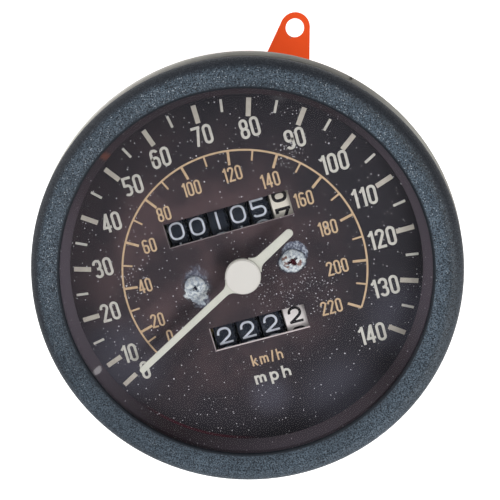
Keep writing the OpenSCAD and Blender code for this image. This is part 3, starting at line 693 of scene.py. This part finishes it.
def dialDust(tree, place):
    # dust lies everywhere, and thicker in a few patches
    share = dial["dustEverywhere"]
    uneven = remap(tree, noiseNode(tree, place, dial["dustUnevenScale"]), *dial["dustUneven"])
    for x, y, reach in dial["dustPatches"].values():
        inner = reach * dial["dustInner"]
        patch = remap(tree, distanceTo(tree, place, (x, y)), inner, reach, dial["dustPatchShare"], 0.0)
        share = larger(tree, share, times(tree, patch, uneven))
    dust = 0.0
    for spacing, size, amount in dial["dustLayers"]:
        kept = times(tree, share, amount)
        specked = useGroup(tree, specks, place, Spacing=spacing, Share=kept, Size=size)["Mask"]
        dust = larger(tree, dust, specked)
    return dust


def dialOxide(tree, place, toned):
    ragged = minus(tree, noiseNode(tree, place, *oxide["ragged"]), 0.5)
    wild = times(tree, ragged, oxide["wild"])
    gentle = times(tree, ragged, oxide["gentle"])
    leftHalo, leftTail = [ovalAt(tree, place, oxide[name], wild) for name in ("leftHalo", "leftTail")]
    left = times(tree, larger(tree, leftHalo, leftTail), oxide["leftShare"])
    halos = larger(tree, left, ovalAt(tree, place, oxide["rightHalo"], gentle))
    toned = coat(tree, toned, halos, oxide, "halo")
    streaks = remap(tree, noiseNode(tree, place, *oxide["streaks"]), *oxide["streakBand"])
    shown = remap(tree, axisOf(tree, place, 0), *oxide["streakSide"])
    toned = mixColour(tree, halos, toned, oxide["streak"], times(tree, streaks, shown))
    # a dark line lies between the right crust and its halo
    x, y, across, along = oxide["rightCrust"][:4]
    wider = (x, y, across + oxide["lineWidth"], along + oxide["lineWidth"], oxide["lineSoft"])
    toned = coat(tree, toned, ovalAt(tree, place, wider, gentle), oxide, "line")
    crusted = oxideTone(tree, place)[0]
    for name, rim in (("leftCrust", wild), ("rightCrust", gentle)):
        toned = mixColour(tree, ovalAt(tree, place, oxide[name], rim), toned, crusted)
    return toned


def windowLip(tree, place):
    # painted highlight along the lower and left edges of a window, widening the lit cut face beside it
    x = axisOf(tree, place, 0)
    y = axisOf(tree, place, 1)
    overlap = dial["lipOverlap"]
    overlay = 0.0
    for across, low, high in dial["windows"].values():
        aside = minus(tree, mathNode(tree, "ABSOLUTE", x), across)
        beyond = mathNode(tree, "ABSOLUTE", minus(tree, y, (low + high) / 2))
        past = larger(tree, aside, minus(tree, beyond, (high - low) / 2))
        below = mathNode(tree, "LESS_THAN", y, low + overlap)
        left = times(tree, mathNode(tree, "LESS_THAN", x, overlap - across), dial["lipLeftShare"])
        lip = times(tree, remap(tree, past, *dial["lipBand"]), larger(tree, below, left))
        overlay = larger(tree, overlay, lip)
    return overlay


def dialLook(tree, place, look):
    toned = dialPaint(tree, place)
    smear = spotAt(tree, place, look["smearSpot"])
    toned = mixColour(tree, smear, toned, look["dust"], look["smearShare"])
    toned = coat(tree, toned, dialDust(tree, place), look, "dust")
    toned = dialOxide(tree, place, toned)
    # the bare cut faces of the windows lie between the plate's two sides
    height = axisOf(tree, place, 2)
    under = mathNode(tree, "LESS_THAN", height, dialFace - look["faceMargin"])
    above = mathNode(tree, "GREATER_THAN", height, dialLow.z + look["faceMargin"])
    inner = mathNode(tree, "LESS_THAN", distanceTo(tree, place), look["windowReach"])
    cutFace = times(tree, times(tree, under, above), inner)
    # the cut faces are bare metal, and the window lips take the same pale colour as painted highlight
    cutFaceAndHighlight = larger(tree, cutFace, windowLip(tree, place))
    # the upper window's cut faces and painted highlight are dimmer than the lower one's
    edgeBright = remap(tree, axisOf(tree, place, 1), *look["edgeBrightSide"])
    return mixColour(tree, cutFaceAndHighlight, toned, look["cutEdge"], edgeBright), None, None


addFinish("dialPaint", dial, dialLook, "dial_plate")


# dial screws: white zinc oxide; the right one shows a rusty star, the left one a dark hole, which is
# painted shade in its recess;
# the rust's spots are x, y and size in mm from the middle of the right head
dialScrews = {
    "rust": (0.2, 0.085, 0.06),
    "star": (0.06, 0.012, 0.018),
    "hole": (0.012, 0.014, 0.03),
    "rustSpots": {"upperLeft": (-2.0, 0.9, 0.62), "upper": (-1.2, 1.1, 0.55),
                  "lower": (-1.75, -0.3, 0.6), "low": (-1.5, -1.35, 0.5),
                  "streak": (1.3, -1.2, 0.75), "right": (1.85, -0.5, 0.45)},
    "rustInner": 0.5,
    "rustShare": 0.85,
    "rim": 2.0 * mm,
    "starPoints": 1.6,
    "starSpot": (screwSide, -0.3 * mm, 0.75 * mm, 1.0 * mm),
    "holeSpot": (-screwSide, -0.3 * mm, 0.35 * mm, 0.6 * mm),
    "topRim": 1.6,
    "blueShare": 0.45,
    "rough": 0.9,
    "specular": 0.1,
    "bump": (0.9, 0.4 * mm),
}


def screwLook(tree, place, look):
    toned, lumps = oxideTone(tree, place)
    uneven = minus(tree, lumps, 0.5)
    ragged = times(tree, uneven, look["rim"])
    # the upper part of the left head is bluer
    white = ovalAt(tree, place, oxide["leftTop"], times(tree, uneven, look["topRim"]))
    white = larger(tree, white, mathNode(tree, "GREATER_THAN", axisOf(tree, place, 0), 0.0))
    bluish = mixColour(tree, look["blueShare"], toned, oxide["halo"])
    toned = mixColour(tree, white, bluish, toned)
    for x, y, size in look["rustSpots"].values():
        spot = (screwSide + x * mm, y * mm, size * look["rustInner"] * mm, size * mm)
        toned = coat(tree, toned, spotAt(tree, place, spot, ragged), look, "rust")
    star = spotAt(tree, place, look["starSpot"], times(tree, ragged, look["starPoints"]))
    toned = coat(tree, toned, star, look, "star")
    # painted shade: the middle of the left head's recess is painted near black
    toned = coat(tree, toned, spotAt(tree, place, look["holeSpot"], ragged), look, "hole")
    return toned, None, lumps


addFinish("oxidisedScrew", dialScrews, screwLook, "dial_screws")


# pointer: pale greenish cream paint, whiter on the hub's disc, with a painted shadow line round the
# disc's rim, where the disc shades the blade
pointer = {
    "cream": (0.61, 0.61, 0.545),
    "grey": (0.54, 0.545, 0.49),
    "disc": (0.67, 0.65, 0.615),
    "line": (0.3, 0.28, 0.26),
    "dirt": (0.3, 0.27, 0.24),
    "patches": dict(Size=8 * mm, Soft=0.15),
    "discBand": (4.1 * mm, 4.2 * mm, 1.0, 0.0),
    "discShadowInside": (4.0 * mm, 4.2 * mm),
    "discShadowOutside": (4.2 * mm, 4.45 * mm, 1.0, 0.0),
    "lineShare": 0.4,
    "dots": dict(Spacing=2 * mm, Share=0.2, Size=0.07),
    "dirtShare": 0.5,
    "grain": dict(Size=0.5 * mm, Coarse=0.2),
    "rough": 0.5,
    "specular": 0.15,
    "bump": (0.1, 0.1 * mm),
}


def pointerLook(tree, place, look):
    toned = coat(tree, look["cream"], patchesOf(tree, place, look), look, "grey")
    radius = distanceTo(tree, place)
    toned = coat(tree, toned, remap(tree, radius, *look["discBand"]), look, "disc")
    # painted shadow: a dark line just outside the disc stands in for the shadow that the disc casts on
    # the blade
    inside = remap(tree, radius, *look["discShadowInside"])
    rim = times(tree, inside, remap(tree, radius, *look["discShadowOutside"]))
    toned = coat(tree, toned, rim, look, "line")
    toned = coat(tree, toned, dotsOf(tree, place, look, specks), look, "dirt")
    return toned, None, grainOf(tree, place, look)["Height"]


addFinish("pointerPaint", pointer, pointerLook, "pointer")

# number drums: navy-black with a dusty film; the tenths drums are cream and silver-pink
drumFinishes = {
    "drumNavy": ((0.01, 0.013, 0.021), (0.017, 0.021, 0.031), 0.6),
    "drumCream": ((0.8, 0.77, 0.69), (0.62, 0.57, 0.49), 0.5),
    "drumSilver": ((0.78, 0.75, 0.74), (0.58, 0.54, 0.54), 0.5),
}
drumWear = {
    "secondShare": 0.6,
    "patches": dict(Size=4 * mm, Soft=0.14),
    "dot": (0.45, 0.46, 0.5),
    "dots": dict(Spacing=0.9 * mm, Share=0.2, Size=0.2),
    "dotShare": 0.6,
    "grain": dict(Size=0.3 * mm, Coarse=0.2),
    "specular": 0.08,
    "bump": (0.12, 0.08 * mm),
}
for name, (base, film, rough) in drumFinishes.items():
    addFinish(name, dict(drumWear, base=base, second=film, rough=rough), patchedLook)
for name in nodes:
    if "_drum_" in name:
        paleDrum = "drumCream" if name.startswith("odo") else "drumSilver"
        paint(paleDrum if name.endswith("_1") else "drumNavy", name)

# printing inks, each with its own tone and a worn one
inks = {
    "inkWhite": ((0.6, 0.59, 0.54), (0.45, 0.43, 0.4)),
    "inkTick": ((0.52, 0.49, 0.43), (0.43, 0.39, 0.35)),
    "inkTan": ((0.58, 0.43, 0.28), (0.44, 0.31, 0.19)),
    "inkDrumWhite": ((0.58, 0.61, 0.68), (0.4, 0.43, 0.5)),
    "inkBlack": ((0.01, 0.01, 0.013), (0.035, 0.03, 0.03)),
}
inkWear = {"patches": dict(Size=1.2 * mm, Soft=0.1), "secondShare": 0.5, "rough": 0.6, "specular": 0.08}
for name, (base, overlay) in inks.items():
    addFinish(name, dict(inkWear, base=base, second=overlay), patchedLook)
print("materials placed on the frame")


def polar(radius, angle):
    return radius * math.cos(math.radians(angle)), radius * math.sin(math.radians(angle))


# the print's thickness: a scale's bars stand a little above the arc that they meet,
# and crossing strokes differ by a step, so that no two upper faces share one plane
depths = {"figures": 0.03 * mm, "bars": 0.036 * mm, "step": 0.004 * mm, "weld": 0.002 * mm}


# pen: a short edge lies across the line and is drawn along straights and round bends

class Pen:
    def __init__(self, strokes, x, y, heading, width):
        self.bm = bmesh.new()
        strokes.append(self.bm)
        self.x, self.y = x, y
        self.heading, self.width = heading, width
        self.edge = self.bm.edges.new([self.bm.verts.new(self.beside(side)) for side in (-0.5, 0.5)])

    def beside(self, share):
        x, y = polar(self.width * share, self.heading + 90)
        return Vector((self.x + x, self.y + y, 0))

    def go(self, length, step=0.5 * mm):
        if length < 0.001 * mm:
            return self
        count = math.ceil(length / step)
        along = Vector((*polar(1, self.heading), 0))
        for part in range(count):
            made = bmesh.ops.extrude_edge_only(self.bm, edges=[self.edge])["geom"]
            verts = [item for item in made if isinstance(item, bmesh.types.BMVert)]
            bmesh.ops.translate(self.bm, verts=verts, vec=along * length / count)
            self.edge = next(item for item in made if isinstance(item, bmesh.types.BMEdge)
                             and item.verts[0] in verts and item.verts[1] in verts)
        self.x += along.x * length
        self.y += along.y * length
        return self

    def bend(self, radius, angle, step=18):
        # a left bend has a positive angle; half the width as radius turns a sharp corner
        centre = self.beside(math.copysign(radius / self.width, angle))
        made = bmesh.ops.spin(self.bm, geom=[self.edge, *self.edge.verts], cent=centre, axis=(0, 0, 1),
                              angle=math.radians(angle), steps=max(2, math.ceil(abs(angle) / step)))
        self.edge = next(item for item in made["geom_last"] if isinstance(item, bmesh.types.BMEdge))
        turned = Matrix.Rotation(math.radians(angle), 3, "Z") @ (Vector((self.x, self.y, 0)) - centre)
        self.x, self.y = centre.x + turned.x, centre.y + turned.y
        self.heading += angle
        return self

    def lineTo(self, x, y):
        self.heading = math.degrees(math.atan2(y - self.y, x - self.x))
        return self.go(math.hypot(x - self.x, y - self.y))


def line(strokes, x0, y0, x1, y1, t):
    heading = math.degrees(math.atan2(y1 - y0, x1 - x0))
    Pen(strokes, x0, y0, heading, t).go(math.hypot(x1 - x0, y1 - y0))


def ring(strokes, x, y, w, h, t, corner=1.3 * mm):
    # a rounded oblong, drawn once round
    r = min(w / 2, h / 2, corner)
    pen = Pen(strokes, x, y + h / 2, 90, t).go(h / 2 - r)
    for length in (w - 2 * r, h - 2 * r, w - 2 * r):
        pen.bend(r, -90).go(length)
    pen.bend(r, -90).go(h / 2 - r)


def arch(strokes, x, w, low, t):
    # a letter's arch on its right leg
    Pen(strokes, x, low - w / 2, 90, t).bend(w / 2, -180).go(low - w / 2)


def glyphStrokes(sign, w, h, t, low):
    # w, h and t are the width, height and thickness of the pen's line, low the small letters' height
    strokes = []

    def bar(*ends):
        line(strokes, *ends, t)

    def loop(*box):
        ring(strokes, *box, t)

    r = min(w / 2, 0.27 * h)
    plain = w > 0.55 * h  # the drums' figures are wide and plain
    half = h / 2
    if sign == "0":
        loop(0, 0, w, h)
    elif sign == "1" and plain:
        bar(w / 2, -t / 2, w / 2, h + t / 2)
    elif sign == "1":
        bar(w, -t / 2, w, h + t / 2)
        line(strokes, w, h, 0, h - w, t * 0.85)
    elif sign == "2":
        r = min(w / 2, 0.32 * h)
        far = math.hypot(w - r, h - r)
        slope = math.degrees(math.atan2(h - r, w - r) - math.asin(r / far))
        pen = Pen(strokes, 0, h - r - 0.06 * h, 90, t).go(0.06 * h).bend(r, -90).go(w - 2 * r)
        pen.bend(r, slope - 180).lineTo(0, 0)
        bar(-t / 2, 0, w + t / 2, 0)
    elif sign == "3":
        r = min(w / 2, half / 2)
        upper = Pen(strokes, 0, h - r - 0.04 * h, 90, t).go(0.04 * h).bend(r, -90).go(w - 2 * r)
        upper.bend(r, -90).go(half - 2 * r).bend(r, -90).go(w * 0.65 - r)
        lower = Pen(strokes, w * 0.35, half, 0, t).go(w * 0.65 - r).bend(r, -90).go(half - 2 * r)
        lower.bend(r, -90).go(w - 2 * r).bend(r, -80)
    elif sign == "4":
        bar(0.78 * w, -t / 2, 0.78 * w, h + t / 2)
        bar(0.72 * w, h, 0, 0.25 * h)
        bar(-t / 2, 0.24 * h, w + t / 2, 0.24 * h)
    elif sign == "5":
        bar(0, h, w + t / 2 - (0.1 * w if plain else 0), h)
        bar(0, h + t / 2, 0, 0.5 * h)
        bowl = Pen(strokes, -t * 0.2, 0.56 * h - 0.07 * w, 30, t).bend(0.5 * w, -30).go(0.75 * w - r)
        bowl.bend(r, -90).go(0.56 * h - 2 * r).bend(r, -90).go(w - 2 * r).bend(r, -55)
    elif sign in "69":
        bowl = (0.68 if plain else 0.58) * h
        r = min(w / 2, bowl / 2)
        x, y = polar(r, 20)
        pen = Pen(strokes, w - r + x, h - r + y, 110, t).bend(r, 70)
        for length in (w - 2 * r, h - 2 * r, w - 2 * r, bowl - 2 * r):
            pen.go(length).bend(r, 90)
        pen.go(w - 2 * r).bend(r, 80)
        if sign == "9":
            turn = Matrix.Rotation(math.pi, 3, "Z")
            for stroke in strokes:
                bmesh.ops.rotate(stroke, verts=stroke.verts, cent=(w / 2, half, 0), matrix=turn)
    elif sign == "7":
        bar(-t / 2, h, w + t / 2, h)
        bar(w - t * 0.1, h, 0.3 * w, -t / 2)
        if plain:
            bar(0, h, 0, 0.7 * h)
    elif sign == "8":
        loop(0.04 * w, half, 0.92 * w, half)
        loop(0, 0, w, half)
    elif sign == "m":
        bar(0, -t / 2, 0, low + t / 2)
        arch(strokes, 0, w / 2, low, t)
        arch(strokes, w / 2, w / 2, low, t)
    elif sign == "h":
        bar(0, -t / 2, 0, h + t / 2)
        arch(strokes, 0, w, low, t)
    elif sign == "p":
        bar(0, low - h - t / 2, 0, low + t / 2)
        loop(0, 0, w, low)
    elif sign == "k":
        bar(0, -t / 2, 0, h + t / 2)
        bar(w, low, 0, 0.3 * low)
        bar(0.35 * w, 0.55 * low, w, -t / 2)
    elif sign == "/":
        bar(0, -t / 2, w, h + t / 2)
    return strokes


def thicken(stroke, thick):
    # each stroke is closed and thickened by itself, so that crossing strokes stay clean
    bmesh.ops.remove_doubles(stroke, verts=stroke.verts, dist=depths["weld"])
    bmesh.ops.recalc_face_normals(stroke, faces=stroke.faces)
    if sum(face.normal.z for face in stroke.faces) < 0:
        bmesh.ops.reverse_faces(stroke, faces=stroke.faces)
    made = bmesh.ops.extrude_face_region(stroke, geom=stroke.faces[:])["geom"]
    lifted = [item for item in made if isinstance(item, bmesh.types.BMVert)]
    bmesh.ops.translate(stroke, verts=lifted, vec=(0, 0, thick))
    bmesh.ops.recalc_face_normals(stroke, faces=stroke.faces)


def joinInto(target, part, move):
    # a small mesh, moved and turned, goes into a larger one
    bmesh.ops.transform(part, matrix=move, verts=part.verts)
    carrier = bpy.data.meshes.new("carrier")
    part.to_mesh(carrier)
    part.free()
    target.from_mesh(carrier)
    bpy.data.meshes.remove(carrier)


def addStrokes(target, strokes, x=0.0, y=0.0, z=0.0, thick=depths["figures"]):
    for index, stroke in enumerate(strokes):
        thicken(stroke, thick + index * depths["step"])
        joinInto(target, stroke, Matrix.Translation((x, y, z)))


def writeText(target, text, style, x, y):
    # figures are centred on their height, words on the height of their small letters
    t = style["stroke"]
    h = style["height"] - t
    low = style.get("low", style["height"]) - t
    widths = [style["widths"].get(sign, style["width"]) for sign in text]
    across = x - (sum(widths) + style["gap"] * (len(text) - 1)) / 2
    for sign, width in zip(text, widths):
        strokes = glyphStrokes(sign, width - t, h, t, low)
        addStrokes(target, strokes, across + t / 2, y - low / 2, dialFace)
        across += width + style["gap"]


def addBar(target, angle, inner, outer, width):
    strokes = []
    Pen(strokes, *polar(inner, angle), angle, width).go(outer - inner)
    addStrokes(target, strokes, z=dialFace, thick=depths["bars"])


def addPiece(name, bm, finish):
    mesh = bpy.data.meshes.new(name)
    bm.to_mesh(mesh)
    bm.free()
    mesh.materials.append(finishes[finish])
    piece = bpy.data.objects.new(name, mesh)
    scene.collection.objects.link(piece)
    return piece


def addPrint(name, bm, body, finish):
    piece = addPiece(name, bm, finish)
    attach(piece, body)


def scaleAngle(scale, value):
    # both scales are uneven up to twenty and even from there
    if value == 15:
        return (scale["ten"] + scale["twenty"]) / 2
    if value < 20:
        return scale["ten" if value else "zero"]
    return scale["twenty"] - scale["perUnit"] * (value - 20)


def writeScale(target, scale, word):
    for value, (angle, radius) in scale["places"].items():
        writeText(target, str(value), scale["figures"], *polar(radius * mm, angle))
    writeText(target, word, scale["word"], *scale["wordPlace"])


# outer scale in mph: angles in degrees from three o'clock, figures' places as angle and radius in mm
mphScale = {
    "long": (36.8 * mm, 41.0 * mm, 1.15 * mm),
    "short": (38.1 * mm, 41.0 * mm, 0.6 * mm),
    "zero": 208.2,
    "ten": 199.3,
    "twenty": 181.2,
    "perUnit": 1.8119,
    "figures": dict(height=4.6 * mm, width=2.15 * mm, widths={"1": 1.5 * mm}, stroke=0.64 * mm,
                    gap=0.37 * mm),
    "places": {
        0: (209.6, 34.45), 10: (200.1, 34.6), 20: (181.0, 33.9), 30: (162.2, 33.9),
        40: (142.9, 33.8), 50: (125.2, 33.5), 60: (109.4, 33.6), 70: (90.4, 33.9),
        80: (71.8, 34.2), 90: (53.8, 33.8), 100: (35.6, 33.35), 110: (17.3, 33.25),
        120: (-1.1, 33.3), 130: (-21.2, 33.45), 140: (-41.4, 33.95),
    },
    "word": dict(height=3.1 * mm, low=2.3 * mm, width=2.1 * mm, widths={"m": 2.8 * mm},
                 stroke=0.56 * mm, gap=1.0 * mm),
    "wordPlace": (-0.05 * mm, -26.6 * mm),
}
tickMesh = bmesh.new()
for value in range(0, 141, 10):
    addBar(tickMesh, scaleAngle(mphScale, value), *mphScale["long"])
addPrint("print_mph_ticks", tickMesh, "case", "inkTick")

figureMesh = bmesh.new()
for value in range(15, 140, 10):
    addBar(figureMesh, scaleAngle(mphScale, value), *mphScale["short"])
writeScale(figureMesh, mphScale, "mph")
addPrint("print_mph_figures", figureMesh, "case", "inkWhite")
print("mph scale printed")

# inner scale in km/h
kmhScale = {
    "arc": (29.15 * mm, 0.44 * mm),
    "long": (25.8 * mm, 0.6 * mm),
    "short": (26.7 * mm, 0.42 * mm),
    "zero": 208.2,
    "ten": 200.9,
    "twenty": 194.95,
    "perUnit": 1.1354,
    "figures": dict(height=3.45 * mm, width=1.5 * mm, widths={"1": 1.0 * mm}, stroke=0.43 * mm,
                    gap=0.28 * mm),
    "places": {
        0: (205.9, 23.9), 20: (193.7, 23.95), 40: (171.9, 23.95), 60: (147.9, 23.4),
        80: (127.1, 23.6), 100: (105.3, 23.6), 120: (80.5, 23.7), 140: (58.6, 22.95),
        160: (35.9, 22.5), 180: (13.2, 22.45), 200: (-11.7, 22.15), 220: (-37.0, 22.45),
    },
    "word": dict(height=2.85 * mm, low=2.05 * mm, width=1.45 * mm,
                 widths={"m": 2.1 * mm, "/": 0.95 * mm}, stroke=0.4 * mm, gap=0.6 * mm),
    "wordPlace": (-0.18 * mm, -22.0 * mm),
}
tanMesh = bmesh.new()
arcRadius, arcWidth = kmhScale["arc"]
arcStart, arcEnd = [scaleAngle(kmhScale, value) for value in (0, 220)]
arcStrokes = []
arcPen = Pen(arcStrokes, *polar(arcRadius, arcStart), arcStart - 90, arcWidth)
arcPen.bend(arcRadius, arcEnd - arcStart, 2)
addStrokes(tanMesh, arcStrokes, z=dialFace)
for value in range(0, 221, 10):
    inner, width = kmhScale["short" if value % 20 else "long"]
    addBar(tanMesh, scaleAngle(kmhScale, value), inner, arcRadius, width)
writeScale(tanMesh, kmhScale, "km/h")
addPrint("print_kmh", tanMesh, "case", "inkTan")
print("km/h scale printed")


# figures on the number drums, wrapped round them; shows is what each drum reads, tenths first
drums = {
    "odo": dict(height=4.3 * mm, width=3.6 * mm, stroke=0.5 * mm,
                shows=[6.45, 5.1, 0.07, 1.03, 0.03, 0.08]),
    "trip": dict(height=4.25 * mm, width=3.45 * mm, stroke=0.54 * mm, shows=[2.1, 2.0, 1.98, 1.98]),
    "tenths": {"odo": dict(height=3.8 * mm, width=3.6 * mm, stroke=0.76 * mm),
               "trip": dict(height=4.1 * mm, width=3.3 * mm, stroke=0.66 * mm)},
    "radius": 8.2 * mm,
    "tenthsShift": 0.29 * mm,
}


def drumFigures(kind, index):
    node = f"{kind}_drum_{index}"
    joint = next(item for item in frame["joints"] if item["child"] == node)
    axis = Vector(joint["pos_m"])
    shows = drums[kind]["shows"]
    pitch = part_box(kind + "_drum_2")[0].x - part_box(kind + "_drum_3")[0].x
    centreX = (len(shows) / 2 - index + 0.5) * pitch + (drums["tenthsShift"] if index == 1 else 0)
    style = drums["tenths"][kind] if index == 1 else drums[kind]
    t = style["stroke"]
    w = style["width"] - t
    h = style["height"] - t
    radius = drums["radius"]
    bm = bmesh.new()
    for digit in range(10):
        flat = bmesh.new()
        addStrokes(flat, glyphStrokes(str(digit), w, h, t, h), -w / 2, -h / 2)
        # the height on the print becomes an angle round the drum, with ten figures to a turn
        offset = math.radians(36) * (shows[index - 1] - digit)
        for vert in flat.verts:
            around = vert.co.y / radius + offset
            out = radius + vert.co.z
            wrapped = (axis.y + out * math.sin(around), axis.z + out * math.cos(around))
            vert.co = Vector((vert.co.x + centreX, *wrapped))
        joinInto(bm, flat, Matrix.Identity(4))
    bmesh.ops.recalc_face_normals(bm, faces=bm.faces)
    slot, ink = ("drum_cream", "inkBlack") if index == 1 else ("drum_black", "inkDrumWhite")
    addPrint("figures_" + node, bm, node, ink)


for kind in ("odo", "trip"):
    for index in range(1, len(drums[kind]["shows"]) + 1):
        drumFigures(kind, index)
print("drum figures wrapped")


# stage: pale floor, soft light, white ground
studio = {
    "floorZ": -0.0152,
    "floorSize": 3.0,
    "floorGrey": (0.86, 0.86, 0.86),
    "floorGlow": 0.66,
    "floorRough": 0.9,
    "lamps": {
        "key": dict(place=(0.3, -0.42, 0.62), size=0.4, power=4.1),
        "fill": dict(place=(-0.5, 0.4, 0.3), size=0.6, power=3.0),
    },
    "world": 0.4,
}


def seenDirectly(tree):
    # camera, glossy and transmitted rays see the white ground itself
    path = addNode(tree, "ShaderNodeLightPath").outputs
    bent = larger(tree, path["Is Glossy Ray"], path["Is Transmission Ray"])
    return larger(tree, path["Is Camera Ray"], bent)


tree, shader = newMaterial("floorWhite")
feed(tree, studio["floorGrey"], shader.inputs["Base Color"])
shader.inputs["Roughness"].default_value = studio["floorRough"]
shader.inputs["Specular IOR Level"].default_value = 0.0
glow = addNode(tree, "ShaderNodeEmission")
feed(tree, times(tree, seenDirectly(tree), studio["floorGlow"]), glow.inputs["Strength"])
surfaceFrom(tree, "ShaderNodeAddShader", shader.outputs[0], glow.outputs[0])

floorMesh = bmesh.new()
bmesh.ops.create_grid(floorMesh, x_segments=1, y_segments=1, size=studio["floorSize"])
bmesh.ops.translate(floorMesh, verts=floorMesh.verts, vec=(0, 0, studio["floorZ"]))
floor = addPiece("floor", floorMesh, "floorWhite")

for name, setting in studio["lamps"].items():
    lamp = bpy.data.lights.new(name, "AREA")
    lamp.energy = setting["power"]
    lamp.size = setting["size"]
    lampObject = bpy.data.objects.new(name, lamp)
    lampObject.location = setting["place"]
    aim = Vector((0, 0, dialFace)) - Vector(setting["place"])
    lampObject.rotation_euler = aim.to_track_quat("-Z", "Y").to_euler()
    scene.collection.objects.link(lampObject)

world = bpy.data.worlds.new("studio")
world.use_nodes = True
tree = world.node_tree
ground = tree.nodes["Background"]
ground.inputs["Color"].default_value = (1, 1, 1, 1)
strength = remap(tree, seenDirectly(tree), outLow=studio["world"], smooth=False)
feed(tree, strength, ground.inputs["Strength"])
scene.world = world
print("studio set")
